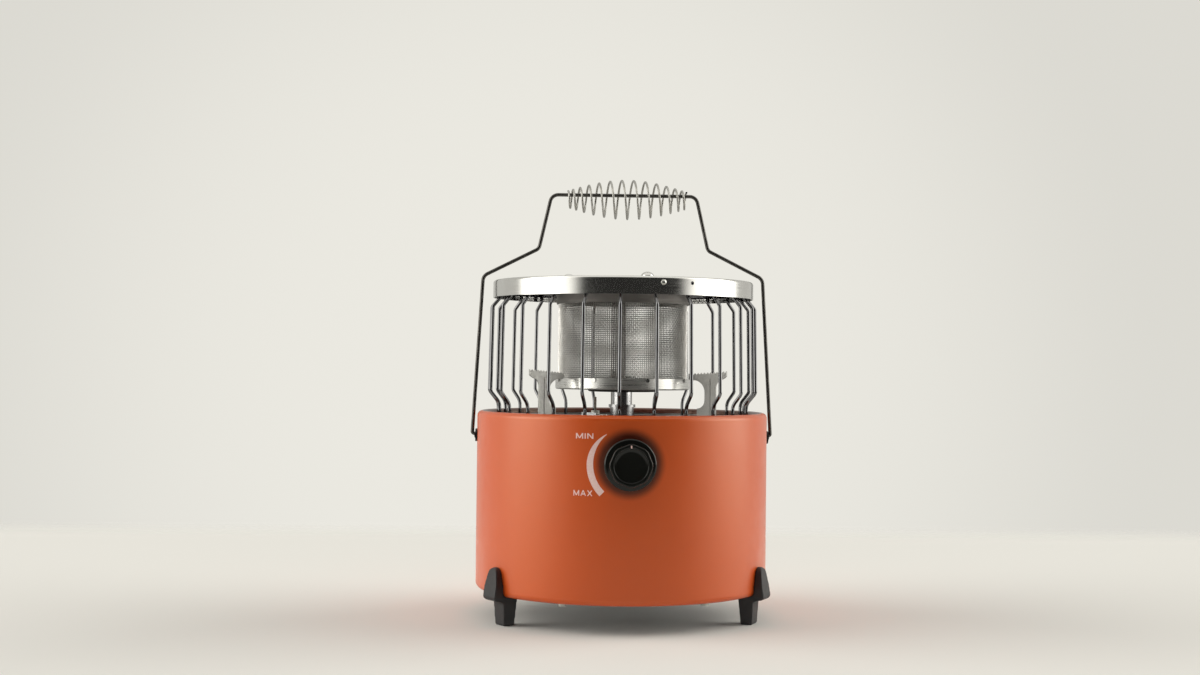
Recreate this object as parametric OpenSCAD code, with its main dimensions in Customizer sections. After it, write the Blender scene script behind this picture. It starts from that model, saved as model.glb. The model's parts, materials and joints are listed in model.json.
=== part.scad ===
// Portable propane heater: an orange drum on three feet, a wire guard round a gauze heat emitter,
// serrated pot supports, a push-and-turn gas knob and a folding wire bail with a coil grip.
// Millimetres. The origin is on the drum's axis at ground level, +Z is up and the knob faces -Y.
// Turn angles are measured from the knob side (-Y) towards +X.

/* [Drum] */
// Outside diameter of the drum
drum_d = 210; // [204:1:230]
// Height of the drum from its bottom edge to its rim
drum_h = 127; // [120:1:150]
// Thickness of the drum's sheet
sheet_t = 1; // [0.8:0.1:1.2]
// Outside radius of the rolled-in top rim
rim_r = 3.5; // [3:0.1:4.5]
// Outside radius of the bottom edge
edge_r = 4; // [3:0.1:6]
// Depth of the rim's inner hem, from the top of the rim
hem_h = 6.5; // [5.5:0.1:9]
// Width of the flat lip under the drum that carries the base cover
lip_w = 8; // [7:0.5:14]

/* [Feet] */
// Height of the drum's bottom edge above the ground
foot_h = 20; // [15:1:40]
// Width of a foot's pad
foot_w = 15.5; // [13:0.5:20]
// How far a foot's pad stands out from the wall
pad_out = 7.3; // [6:0.1:10]
// Height of a foot's pad above the drum's bottom edge
pad_h = 20.5; // [17:0.5:28]
// Turn of the feet and pot supports from even thirds
foot_turn = 3.3; // [-10:0.1:10]

/* [Floor tray] */
// Thickness of the tray and base cover sheets
tray_t = 0.8; // [0.6:0.1:1]
// Depth of the tray's floor below the rim
tray_drop = 8.2; // [7.5:0.1:12]
// Number of vent slots in the base cover
vent_n = 16; // [8:1:20]
// Length of a vent slot
vent_l = 22; // [12:1:30]

/* [Burner] */
// Outside diameter of the mixing tube
riser_d = 17.5; // [15:0.5:20]
// Outside diameter of the burner's neck
neck_d = 14.5; // [12:0.5:16]
// Diameter of the flange between tube and neck
flange_d = 19.5; // [18:0.5:24]
// Height of the flange's underside above the rim
flange_rise = 3; // [2:0.5:6]
// Outside diameter of the burner head
burner_d = 50; // [44:1:54]
// Height of the burner head's underside above the rim
burner_rise = 14.3; // [12:0.1:20]
// Height of the burner head's cup
cup_h = 7.7; // [7:0.1:10]
// Height of the burner's domed cap
dome_h = 3.6; // [2.5:0.1:6]
// Number of flame ports
port_n = 24; // [12:1:32]

/* [Emitter] */
// Outside diameter of the gauze cylinder
gauze_d = 94; // [86:1:98]
// Thickness of the gauze
gauze_t = 0.8; // [0.6:0.1:1.2]
// Width of the strip where the gauze overlaps itself
seam_w = 10.7; // [6:0.1:16]
// Turn of the seam from the knob side
seam_turn = -6.4; // [-180:0.1:180]
// Height of the emitter's collar above the rim
collar_rise = 16; // [15:0.1:24]
// Height of the collar
collar_h = 8.2; // [7:0.1:12]
// Height of the dark hem below the guard's top band
hem_drop = 4.1; // [3:0.1:10]
// Number of rivets round the collar
rivet_n = 8; // [6:1:12]

/* [Pot supports] */
// Radius of a pot support's inner end
support_in = 52; // [51:0.5:56]
// Radius of a pot support's outer end
support_out = 80.7; // [78:0.1:84]
// Height of a pot support's outer tip above the rim
support_rise = 30; // [26:0.5:36]
// Thickness of the sheet
support_t = 1.5; // [1.2:0.1:2]
// Width of the stem
stem_w = 8.5; // [6:0.5:9]
// Distance from tooth to tooth
tooth_pitch = 2.3; // [2:0.1:3]

/* [Guard] */
// How far the top band lies inside the drum's side
band_inset = 10.5; // [9:0.1:12]
// Height of the top band
band_h = 12.4; // [11:0.1:16]
// Height of the guard's top above the rim
guard_h = 94; // [90:1:120]
// Diameter of the guard's wires
wire_d = 2.5; // [2:0.1:3]
// Number of upright wires
wire_n = 24; // [18:1:28]
// Turn of the first wire from the knob side
wire_turn = -4.1; // [-15:0.1:15]
// Distance from the drum's hem to the foot of a wire
wire_inset = 7.7; // [6:0.1:12]
// Distance from the drum's hem in to the wires' middle line where the guard is widest
belly_inset = 1.1; // [0:0.1:2.5]
// How far the wires' middle line stands out past the band just below it
waist_out = 1.3; // [-0.5:0.1:2]

/* [Bail] */
// Diameter of the bail's wire
bail_d = 2.6; // [2.5:0.1:4]
// Depth of the pivots below the rim
pivot_drop = 17; // [14:0.5:24]
// Height of the top bar above the pivots
bail_h = 174.3; // [170:0.1:190]
// Height of the shoulders above the pivots
shoulder_h = 114.5; // [113:0.1:122]
// How far the shoulders stand out past the guard's top band
shoulder_out = 7.5; // [6.5:0.1:9.5]
// Height of the knees above the pivots
knee_h = 134.8; // [133:0.1:144]
// Width between the knees
knee_w = 123.4; // [118:0.1:130]
// Width of the top bar
bar_w = 105.6; // [103:0.1:112]

/* [Grip] */
// Diameter of the grip coil's wire
grip_wire = 1.5; // [1.2:0.1:1.8]
// Outside diameter at the middle
grip_mid_d = 29.6; // [24:0.1:34]
// Outside diameter at the ends
grip_end_d = 13.3; // [13.2:0.1:16]
// Length over the end turns
grip_l = 88; // [80:0.5:90]
// Number of turns
grip_turns = 13; // [9:1:14]
// Distance between neighbouring turns at the ends
grip_end_pitch = 2.6; // [2.4:0.1:3.5]
// Sideways place of the coil on the bar
grip_shift = 2.4; // [0:0.1:2.4]

/* [Knob and valve] */
// Diameter of the knob's skirt
knob_d = 35; // [30:0.5:40]
// Diameter of the knob's raised ring
ring_d = 28.6; // [26:0.1:29]
// Diameter of the knob's sunken face
face_d = 22.4; // [20:0.1:24]
// Depth of the knob's centre below the rim
knob_drop = 32.2; // [28:0.1:40]
// How far the knob's front stands out from the wall
knob_out = 20; // [19:0.1:26]
// Gap between the knob and the wall
knob_gap = 4; // [3.8:0.1:6]
// Travel of the knob when it is pushed
knob_press = 3; // [2:0.1:3]
// Diameter of the spindle
spindle_d = 6; // [5:0.1:6]
// Diameter of the valve's turning plug
plug_d = 9; // [8.8:0.1:9.4]
// Diameter of the valve's nose
nose_d = 13; // [12:0.1:14]

/* [Gas pipes] */
// Diameter of the inlet fitting's spigot
spigot_d = 15.9; // [12:0.1:18]
// Length of the spigot
spigot_l = 14; // [10:0.5:20]
// Height of the inlet above the drum's bottom edge
inlet_rise = 40; // [34:1:50]
// Outside diameter of the inlet pipe
inlet_pipe_d = 8; // [6:0.5:9]
// Outside diameter of the pipe to the injector
jet_pipe_d = 6; // [5:0.5:7]

/* [Hidden] */
$fn = 96;

// Clearances: a running fit, a loose hole and a seated fit within the frame
fit = 0.05;
loose = 0.2;
weld = 0.1;

// Drum
drum_r = drum_d/2;
inner_r = drum_r - sheet_t;
rim_z = foot_h + drum_h;
hem_r = drum_r - 2*rim_r;
lip_r = drum_r - edge_r - lip_w;
cover_z = foot_h + sheet_t;
arc_n = 8;

// Floor tray
tray_z = rim_z - tray_drop;
tray_top = tray_z + tray_t;
tray_seat = 2.6;
tray_lip_z = rim_z - hem_h + tray_seat;
tray_r = hem_r;
tray_bend = 1.6;

// Base cover
cover_r = drum_r - edge_r - loose;
vent_w = 4;
vent_r = 68;
base_screw_n = 6;
base_screw_turn = 30 + foot_turn;
base_screw_r = lip_r + 4;
base_screw_l = 6;

// Feet
foot_angles = [for (i = [0:2]) foot_turn - 60 + 120*i];
leg_w = foot_w - 2;
leg_deep = 10.5;
foot_screw_d = 4;
foot_screw_z = foot_h + 0.55*pad_h;
foot_screw_l = 4.5;
foot_head_d = 7.5;
foot_head_h = 2;
pad_z = foot_h - 2.5;

// Screws shared by the covers and supports
screw_d = 3;
head_d = 5.6;
head_h = 1.8;

// Burner
flange_z = rim_z + flange_rise;
flange_h = 2;
tube_wall = 2;
tube_z = foot_h + 38;
burner_z = rim_z + burner_rise;
cup_floor = 2;
cup_wall = 2.2;
hub_r = neck_d/2 + 2.6;
hub_h = 4.7;
burner_r = burner_d/2;
port_d = 2;

// Igniter and thermocouple, on either side of the burner, under its edge
spark_r = burner_r + 1.9;
spark_angle = -48;
probe_angle = 177;
insulator_d = 6;
insulator_below = 8;
electrode_below = insulator_below + 0.4;
spark_gap = 3.6;
probe_below = 14;
electrode_d = 1.5;
probe_d = 3;
lead_d = 3;
capillary_d = 1.8;
igniter_base = 14;
igniter_lift = 7;

// Guard
band_r = drum_r - band_inset;
band_t = 0.8;
top_z = rim_z + guard_h;
band_z = top_z - band_h;
band_round = 1.8;
band_lip = 6;
plate_top = top_z - band_t;
plate_t = 0.8;
skirt_h = 8;
hoop_t = 1.5;
hoop_h = 7;
hoop_gap = 0.6;
hoop_r = band_r - band_t - plate_t;
band_screw_turn = 13.8;
band_hole_turn = 26.8;
band_screw_d = 2.6;
band_screw_z = top_z - 4.3;
wire_r = wire_d/2;
wire_foot_r = hem_r - wire_inset;
belly_r = hem_r - belly_inset;
wire_head_r = hoop_r - hoop_t - wire_r + weld;
wire_lift = 0.4;
ankle_rise = 5.8;
belly_rise = 14;
waist_drop = 6.6;
wire_tuck = 8.2;
ankle_bend = 9;
belly_bend = 4.5;
waist_bend = 3;

// Emitter
gauze_r = gauze_d/2;
collar_r0 = gauze_r + 0.55;
collar_t = 1.2;
collar_z = rim_z + collar_rise;
pan_t = 0.8;
pan_hole_r = burner_r + 4;
hem_z = band_z - hem_drop;
cap_top = plate_top - plate_t;
stud_ring = 40;
stud_d = 5;
stud_turn = 22.3;
nut_d = 15;
nut_h = 6.6;
rivet_turn = -27;
rivet_z = collar_z + collar_h - 1.4;

// Pot supports
stem_r = support_in + 0.576*(support_out - support_in);
tip_deep = 4.8;
top_slope = 2;
tooth_deep = 1.1;
arch = 8.5;
rib_w = 1.6;
rib_out = 0.4;
rib_foot = 4;
rib_top = rim_z + support_rise - tip_deep - 1;
tab_w = 12;
tab_t = 1.2;
support_screw_l = 6;

// Bail and grip
pivot_z = rim_z - pivot_drop;
ear_t = 1.2;
ear_h = 9;
ear_w = 18;
ear_z = pivot_z - 1;
rivet_d = 2.6;
rivet_hole_d = rivet_d + 2*fit;
rivet_out = 5.6;
rivet_head_d = 4.2;
rivet_head_h = 0.35;
clip_d = 6.4;
clip_t = 0.8;
clip_gap = 0.4;
pin_bend = bail_d/2 + 0.25;
pin_root = drum_r + ear_t + 2*fit;
pin_straight = 0.8;
bar_skin = 0.02;
arm_x = pin_root + pin_straight + pin_bend;
bar_z = pivot_z + bail_h;
shoulder_bend = 6;
knee_bend = 5;
corner_bend = 6;
pin_in = 3.5;
pin_r = bail_d/2 - fit;
grip_mid_r = (grip_mid_d - grip_wire)/2;
grip_end_r = (grip_end_d - grip_wire)/2;
grip_hang = 3.1;
grip_z = bar_z - grip_hang;
grip_rings = 8;
grip_sides = 6;

// Knob and valve: y of each face, from the outside in
knob_z = rim_z - knob_drop;
nut_t = 2.2;
nose_y = -drum_r - nut_t;
valve_w = 26;
piezo_x = -valve_w/2 - 8;
bracket_w = 2*(5 - piezo_x);
bracket_h = 34;
bracket_t = 1.5;
bracket_y = -sqrt(inner_r*inner_r - bracket_w*bracket_w/4);
valve_y = bracket_y + bracket_t;
valve_l = 36;
piezo_d = 12;
piezo_l = 30;
piezo_end = valve_y + piezo_l;
valve_end = valve_y + valve_l;
plug_y = -drum_r + 5;
plug_end = valve_end - 9;
spring_h = 2.4;
spindle_y = -drum_r - knob_out + 3;
spindle_end = plug_y + 10;
spindle_flat = 0.9;
pointer_w = 0.9;
pointer_deep = 0.5;
jet_y = -36;
jet_z = foot_h + 14;
outlet_z = knob_z - 8;
inlet_z = foot_h + inlet_rise;
inlet_up_y = valve_y + 14;
boss_l = 6;

// Gas inlet at the rear
inlet_hex_l = knob_out - spigot_l;
inlet_shank_d = 14;
inlet_nut_af = 22;
inlet_nut_l = 4.4;
inlet_end = drum_r - 13;

// ---------------------------------------------------------------- helpers

// Points on an arc round (cx, cy)
function arc(cx, cy, r, a0, a1, n = arc_n) =
    [for (i = [0:n]) let (a = a0 + (a1 - a0)*i/n) [cx + r*cos(a), cy + r*sin(a)]];

function unit(v) = v/norm(v);

// The rounded corner at b of the path a-b-c
function bend(a, b, c, r, n) =
    let (
        u = unit(a - b),
        v = unit(c - b),
        inside = acos(u*v),
        back = r/tan(inside/2),
        centre = b + unit(u + v)*r/sin(inside/2),
        s = b + u*back - centre,
        e = b + v*back - centre,
        sweep = 180 - inside
    )
    [for (i = [0:n]) centre + (s*sin(sweep*(1 - i/n)) + e*sin(sweep*i/n))/sin(sweep)];

// A path through p with its inner corners rounded in n steps; r is one radius, or one a point
function route(p, r, n = 4) = [
    p[0],
    for (i = [1:len(p) - 2]) each bend(p[i - 1], p[i], p[i + 1], is_list(r) ? r[i] : r, n),
    p[len(p) - 1]
];

function tangent(p, i) =
    let (last = len(p) - 1)
    i == 0 ? unit(p[1] - p[0]) :
    i == last ? unit(p[last] - p[last - 1]) :
    unit(unit(p[i + 1] - p[i]) + unit(p[i] - p[i - 1]));

// A closed tube along the points p; side is a direction that is never along the path,
// or one such direction for each point
module tube(p, r, sides, side) {
    n = len(p);
    points = [
        for (i = [0:n - 1])
            let (
                t = tangent(p, i),
                s = is_list(side[0]) ? side[i] : side,
                u = unit(s - t*(s*t)),
                v = cross(t, u)
            )
            for (j = [0:sides - 1]) p[i] + r*(u*cos(360*j/sides) + v*sin(360*j/sides))
    ];
    walls = [
        for (i = [0:n - 2], j = [0:sides - 1])
            let (
                a = i*sides + j,
                b = i*sides + (j + 1)%sides,
                c = b + sides,
                d = a + sides
            )
            each [[a, d, c], [a, c, b]]
    ];
    first_end = [for (j = [1:sides - 2]) [0, j, j + 1]];
    last_end = [for (j = [1:sides - 2]) let (o = (n - 1)*sides) [o, o + j + 1, o + j]];
    polyhedron(points = points, faces = concat(walls, first_end, last_end));
}

// Turns what is drawn along +X to the angle az, measured from the knob side
module at(az) {
    rotate([0, 0, az - 90]) children();
}

// Stands a profile drawn in X and Y up in X and Z, thick along Y
module upright(thick) {
    rotate([90, 0, 0]) linear_extrude(height = thick, center = true) children();
}

module pipe(r_out, r_in, h) {
    difference() {
        cylinder(r = r_out, h = h);
        translate([0, 0, -1]) cylinder(r = r_in, h = h + 2);
    }
}

// A cylinder along Y from y0 to y1
module along_y(r, y0, y1) {
    translate([0, y0, 0]) rotate([-90, 0, 0]) cylinder(r = r, h = y1 - y0);
}

module hex_y(af, y0, y1) {
    translate([0, y0, 0]) rotate([-90, 0, 0]) rotate([0, 0, 30])
        cylinder(r = af/2/cos(30), h = y1 - y0, $fn = 6);
}

module pan_screw(shank_l) {
    cylinder(d = head_d, h = head_h);
    translate([0, 0, -shank_l]) cylinder(d = screw_d, h = shank_l + 0.5);
}

// ---------------------------------------------------------------- drum

// Outline of the drum's outer skin up to height top, as a closed solid section
function drum_outline(top) = concat(
    [[0, foot_h]],
    arc(drum_r - edge_r, foot_h + edge_r, edge_r, -90, 0),
    [[drum_r, top], [0, top]]
);

module drum_section() {
    polygon(concat(
        [[lip_r, foot_h]],
        arc(drum_r - edge_r, foot_h + edge_r, edge_r, -90, 0),
        arc(drum_r - rim_r, rim_z - rim_r, rim_r, 0, 180),
        [[hem_r, rim_z - hem_h], [hem_r + sheet_t, rim_z - hem_h]],
        arc(drum_r - rim_r, rim_z - rim_r, rim_r - sheet_t, 180, 0),
        arc(drum_r - edge_r, foot_h + edge_r, edge_r - sheet_t, 0, -90),
        [[lip_r, cover_z]]
    ));
}

module drum_shell() {
    color("orangered") difference() {
        rotate_extrude($fn = 180) drum_section();
        translate([0, 0, knob_z]) along_y(nose_d/2 + loose, -drum_r - 2, -drum_r + 5);
        translate([0, 0, inlet_z]) along_y(inlet_shank_d/2 + loose, drum_r - 5, drum_r + 2);
        for (s = [-1, 1]) {
            translate([s*drum_r, 0, pivot_z]) rotate([0, 90, 0])
                cylinder(r = bail_d/2 + loose, h = 8, center = true);
            for (side = [-1, 1])
                ear_rivet_place(s, side) cylinder(d = rivet_hole_d, h = 8, center = true);
        }
        for (a = foot_angles)
            at(a) translate([drum_r, 0, foot_screw_z]) rotate([0, 90, 0])
                cylinder(d = foot_screw_d + 2*fit, h = 8, center = true);
        for (i = [0:base_screw_n - 1])
            at(base_screw_turn + 360/base_screw_n*i) translate([base_screw_r, 0, foot_h - 1])
                cylinder(d = screw_d + 2*fit, h = sheet_t + 2);
    }
}

module base_cover() {
    color("gray") translate([0, 0, cover_z]) difference() {
        cylinder(r = cover_r, h = tray_t);
        for (i = [0:vent_n - 1])
            at(360/vent_n*(i + 0.5)) translate([vent_r, 0, -1]) linear_extrude(height = tray_t + 2)
                union() {
                    square([vent_l - vent_w, vent_w], center = true);
                    for (s = [-1, 1]) translate([s*(vent_l - vent_w)/2, 0]) circle(d = vent_w);
                }
        for (i = [0:base_screw_n - 1])
            at(base_screw_turn + 360/base_screw_n*i) translate([base_screw_r, 0, -1])
                cylinder(d = screw_d + 2*fit, h = tray_t + 2);
    }
}

// Screws up through the drum's lip and the base cover, heads below
module base_screws() {
    color("silver") for (i = [0:base_screw_n - 1])
        at(base_screw_turn + 360/base_screw_n*i)
            translate([base_screw_r, 0, foot_h]) mirror([0, 0, 1]) pan_screw(base_screw_l);
}

// ---------------------------------------------------------------- floor tray

module support_screw_place(a) {
    at(a) for (s = [-1, 1]) translate([stem_r - 3 + s*4.2, tab_w/2 + 1, 0]) children();
}

module floor_tray() {
    color("silver") difference() {
        rotate_extrude() polygon(concat(
            [[0, tray_z]],
            arc(tray_r - tray_bend, tray_z + tray_bend, tray_bend, -90, 0, 4),
            [[tray_r, tray_lip_z], [tray_r - tray_t, tray_lip_z]],
            arc(tray_r - tray_bend, tray_z + tray_bend, tray_bend - tray_t, 0, -90, 4),
            [[0, tray_top]]
        ));
        translate([0, 0, tray_z - 1]) {
            cylinder(d = riser_d + 2*loose, h = tray_t + 2);
            at(spark_angle) translate([spark_r, 0, 0])
                cylinder(d = insulator_d + 2*fit, h = tray_t + 2);
            at(probe_angle) translate([spark_r, 0, 0])
                cylinder(d = probe_d + 2*fit, h = tray_t + 2);
            for (a = foot_angles) support_screw_place(a)
                cylinder(d = screw_d + 2*fit, h = tray_t + 2);
        }
    }
}

// ---------------------------------------------------------------- feet

// Side view of a foot: the leg below the drum and the pad that leans on its wall
module foot_side() {
    pad_top = foot_h + pad_h;
    face_r = drum_r + pad_out;
    polygon(concat(
        [[drum_r - leg_deep, 0.6], [drum_r - leg_deep + 0.6, 0]],
        [[drum_r - 2.6, 0], [drum_r - 2, 0.6], [drum_r - 1, pad_z - 1.4]],
        arc(face_r - 3.2, pad_z + 3.2, 3.2, -100, -8, 6),
        arc(drum_r + 1.2, pad_top - 3.6, 3.6, 25, 75, 5),
        [[drum_r - 2, pad_top], [drum_r - 2, foot_h + edge_r]],
        [[drum_r - leg_deep - 1.5, foot_h + edge_r], [drum_r - leg_deep - 1.5, foot_h - 2]]
    ));
}

// Front view of a foot: a straight leg under a tongue with a round top
module foot_front() {
    top_r = foot_w/2 - 2.3;
    polygon(concat(
        [[-leg_w/2 + 1, 0], [leg_w/2 - 1, 0], [leg_w/2, pad_z]],
        [[foot_w/2, pad_z + 2], [foot_w/2, pad_z + 10]],
        arc(0, foot_h + pad_h - top_r, top_r, 12, 168, 10),
        [[-foot_w/2, pad_z + 10], [-foot_w/2, pad_z + 2], [-leg_w/2, pad_z]]
    ));
}

module foot(i) {
    color("#202022") at(foot_angles[i]) difference() {
        intersection() {
            upright(foot_w) foot_side();
            translate([drum_r, 0, 0]) rotate([90, 0, 90])
                linear_extrude(height = 60, center = true) foot_front();
        }
        rotate_extrude($fn = 180) polygon(drum_outline(foot_h + pad_h + 5));
        translate([drum_r, 0, foot_screw_z]) rotate([0, 90, 0])
            cylinder(d = foot_screw_d + 2*fit, h = 8, center = true);
    }
}

module foot_1() { foot(0); }
module foot_2() { foot(1); }
module foot_3() { foot(2); }

// Screws from inside the drum into the feet's pads
module foot_screws() {
    color("silver") for (a = foot_angles)
        at(a) translate([inner_r - 0.35, 0, foot_screw_z]) rotate([0, -90, 0]) {
            cylinder(d = foot_head_d, h = foot_head_h);
            translate([0, 0, -foot_screw_l]) cylinder(d = foot_screw_d, h = foot_screw_l + 0.5);
        }
}

// ---------------------------------------------------------------- ears

module ear_rivet_place(s, side) {
    translate([s*drum_r, side*rivet_out, ear_z]) rotate([0, 90, 0]) children();
}

// Oval plate whose back is rounded to the drum's wall
module ear(s) {
    color("#2b2b2d") difference() {
        translate([s*(drum_r + ear_t/2 - 0.5), 0, ear_z]) rotate([0, 90, 0])
            linear_extrude(height = ear_t + 1, center = true) union() {
                square([ear_h, ear_w - ear_h], center = true);
                for (e = [-1, 1]) translate([0, e*(ear_w - ear_h)/2]) circle(d = ear_h);
            }
        cylinder(r = drum_r, h = rim_z + 10, $fn = 180);
        translate([s*drum_r, 0, pivot_z]) rotate([0, 90, 0])
            cylinder(r = pin_r + fit, h = 8, center = true);
        for (side = [-1, 1])
            ear_rivet_place(s, side) cylinder(d = rivet_hole_d, h = 8, center = true);
    }
}

module ear_left() { ear(-1); }
module ear_right() { ear(1); }

module ear_rivets() {
    color("#2b2b2d") for (s = [-1, 1], side = [-1, 1]) ear_rivet_place(s, side) {
        cylinder(d = rivet_d, h = 2*ear_t + 1.4, center = true);
        mirror([0, 0, s > 0 ? 0 : 1]) {
            translate([0, 0, ear_t]) cylinder(d = rivet_head_d, h = rivet_head_h);
            translate([0, 0, -sheet_t - 1.2]) cylinder(d = rivet_head_d, h = 0.7);
        }
    }
}

// ---------------------------------------------------------------- pot supports

// A plate with a serrated top, a curved underside, a stem and a flared foot
module support_outline() {
    tip_z = rim_z + support_rise;
    in_z = tip_z - top_slope;
    span = support_out - support_in;
    teeth = floor(span/tooth_pitch);
    stem_in = stem_r - stem_w/2;
    stem_out = stem_r + stem_w/2;
    curve = 5.5;
    flare = 5.6;
    foot_top = tray_top + 10.6;
    polygon(concat(
        [[stem_out, tray_top]],
        arc(stem_out + curve, tip_z - tip_deep - 1.2 - curve, curve, 180, 100, 6),
        [[support_out - 1, tip_z - tip_deep], [support_out, tip_z - tip_deep + 1]],
        [for (k = [0:teeth - 1], p = [0, 0.35, 0.65])
            let (x = support_out - span*(k + p)/teeth, z = tip_z - top_slope*(k + p)/teeth)
            [x, p == 0 ? z : z - tooth_deep]],
        [[support_in, in_z]],
        [[support_in, in_z - tip_deep + 1], [support_in + 1, in_z - tip_deep]],
        arc(stem_in - arch, tip_z - tip_deep - 1.8 - arch, arch, 80, 0, 8),
        arc(stem_in - flare, foot_top + flare, flare, 0, -90, 6),
        [[stem_in - flare, tray_top]]
    ));
}

module pot_support(i) {
    color("silver") at(foot_angles[i]) difference() {
        union() {
            upright(support_t) support_outline();
            translate([stem_r - rib_w, 0, tray_top + rib_foot])
                upright(support_t + 2*rib_out) square([rib_w, rib_top - tray_top - rib_foot]);
            translate([stem_r - 12, 0, tray_top]) cube([17, tab_w + 1, tab_t]);
        }
        translate([0, 0, tray_top - 1]) rotate([0, 0, 90 - foot_angles[i]])
            support_screw_place(foot_angles[i]) cylinder(d = screw_d + 2*fit, h = 4);
    }
}

module pot_support_1() { pot_support(0); }
module pot_support_2() { pot_support(1); }
module pot_support_3() { pot_support(2); }

module support_screws() {
    color("silver") for (a = foot_angles) support_screw_place(a)
        translate([0, 0, tray_top + tab_t]) pan_screw(support_screw_l);
}

// ---------------------------------------------------------------- burner

module mixing_tube() {
    air_d = 8;
    color("silver") translate([0, 0, tube_z]) difference() {
        pipe(riser_d/2, riser_d/2 - tube_wall, flange_z - tube_z);
        for (a = [0, 90]) rotate([0, 90, a]) translate([-12, 0, 0])
            cylinder(d = air_d, h = riser_d + 4, center = true);
    }
}

module riser_flange() {
    color("silver") translate([0, 0, flange_z])
        pipe(flange_d/2, riser_d/2 - tube_wall - 1, flange_h);
}

module burner_neck() {
    neck_z = flange_z + flange_h;
    color("silver") translate([0, 0, neck_z])
        pipe(neck_d/2, neck_d/2 - 1.7, burner_z + hub_h - neck_z - 0.3);
}

module burner_head() {
    bore = neck_d/2 + fit;
    color("#3a3a3c") difference() {
        rotate_extrude() polygon(concat(
            [[bore, burner_z]],
            arc(burner_r - 1.5, burner_z + 1.5, 1.5, -90, 0, 4),
            [[burner_r, burner_z + cup_h], [burner_r - cup_wall, burner_z + cup_h]],
            [[burner_r - cup_wall, burner_z + cup_floor], [hub_r, burner_z + cup_floor]],
            [[hub_r, burner_z + hub_h], [bore, burner_z + hub_h]]
        ));
        for (i = [0:port_n - 1])
            rotate([0, 0, 360/port_n*i]) translate([burner_r, 0, burner_z + cup_h - 2.4])
                rotate([0, 90, 0]) cylinder(d = port_d, h = 8, center = true, $fn = 24);
    }
}

// Domed cap that closes the burner head's cup
module burner_cap() {
    cap_r = burner_r - 0.6;
    dome_r = (cap_r*cap_r + dome_h*dome_h)/(2*dome_h);
    half = asin(cap_r/dome_r);
    color("#3a3a3c") translate([0, 0, burner_z + cup_h]) rotate_extrude() polygon(concat(
        [[0, 0]], arc(0, dome_h - dome_r, dome_r, 90 - half, 90, 10)
    ));
}

// Brass jet that plugs the foot of the mixing tube
module injector() {
    bore = 1.2;
    color("goldenrod") difference() {
        union() {
            translate([0, 0, tube_z - 4]) cylinder(d = riser_d, h = 4);
            translate([0, 0, tube_z - 14]) cylinder(r = 12/2/cos(30), h = 10.5, $fn = 6);
            translate([0, 0, tube_z - 0.5]) cylinder(d = 6, h = 5.5);
        }
        translate([0, 0, tube_z - 15]) cylinder(d = bore, h = 30, $fn = 24);
    }
}

// ---------------------------------------------------------------- igniter and thermocouple

module igniter_bracket() {
    color("silver") at(spark_angle) difference() {
        union() {
            translate([spark_r - 7, -igniter_base/2, tray_top]) cube([14, igniter_base, 0.8]);
            translate([spark_r + 6.2, -igniter_base/2, tray_top]) cube([0.8, igniter_base, igniter_lift]);
        }
        translate([spark_r, 0, tray_top - 1]) cylinder(d = insulator_d + 2*fit, h = 4);
    }
}

module igniter_insulator() {
    color("white") at(spark_angle) translate([spark_r, 0, tray_z - insulator_below]) difference() {
        union() {
            cylinder(d = insulator_d, h = 17);
            translate([0, 0, insulator_below + tray_t + 0.8]) cylinder(d = insulator_d + 2.4, h = 2);
        }
        translate([0, 0, -1]) cylinder(d = electrode_d + 2*fit, h = 20, $fn = 32);
    }
}

// Straight wire up to just under the burner's edge
module igniter_electrode() {
    foot = tray_z - electrode_below;
    color("silver") at(spark_angle) translate([spark_r, 0, foot])
        cylinder(d = electrode_d, h = burner_z - spark_gap - foot, $fn = 32);
}

// Push-to-spark unit beside the valve
module piezo_unit() {
    color("#303438") translate([piezo_x, 0, knob_z]) union() {
        along_y(piezo_d/2, valve_y, piezo_end);
        along_y(piezo_d/2 + 1.5, valve_y, valve_y + 5);
    }
}

function around(az, r, z) = [r*sin(az), -r*cos(az), z];

module ignition_lead() {
    spark = around(spark_angle, spark_r, tray_z - electrode_below);
    color("#8a1f1f") tube(route([
        [piezo_x, piezo_end, knob_z],
        [piezo_x, piezo_end + 12, knob_z],
        [spark[0], spark[1], knob_z - 6],
        spark
    ], 6, 3), lead_d/2, 8, [1, 0.4, 0.1]);
}

module thermocouple() {
    color("goldenrod") at(probe_angle) translate([spark_r, 0, tray_z - probe_below]) union() {
        cylinder(d = probe_d, h = burner_z - 3 - tray_z + probe_below, $fn = 48);
        translate([0, 0, probe_below + tray_t]) cylinder(d = 8, h = 2.2);
    }
}

module thermocouple_lead() {
    probe = around(probe_angle, spark_r, tray_z - probe_below);
    drop = 8;
    side_x = 20;
    side_y = -44;
    valve_x = 9;
    valve_z = knob_z + 5;
    color("peru") tube(route([
        probe,
        [probe[0], probe[1], probe[2] - drop],
        [side_x, 0, probe[2] - drop],
        [side_x, side_y, probe[2] - drop],
        [valve_x, valve_end + 8, valve_z],
        [valve_x, valve_end, valve_z]
    ], 4, 3), capillary_d/2, 8, [1, 0.2, 0.3]);
}

// ---------------------------------------------------------------- valve and pipes

// Flat plate whose two edges rest on the inside of the wall
module valve_bracket() {
    color("silver") difference() {
        translate([-bracket_w/2, bracket_y, knob_z - bracket_h/2]) cube([bracket_w, bracket_t, bracket_h]);
        translate([0, 0, knob_z]) along_y(nose_d/2 + fit, bracket_y - 1, valve_y + 1);
    }
}

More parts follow.
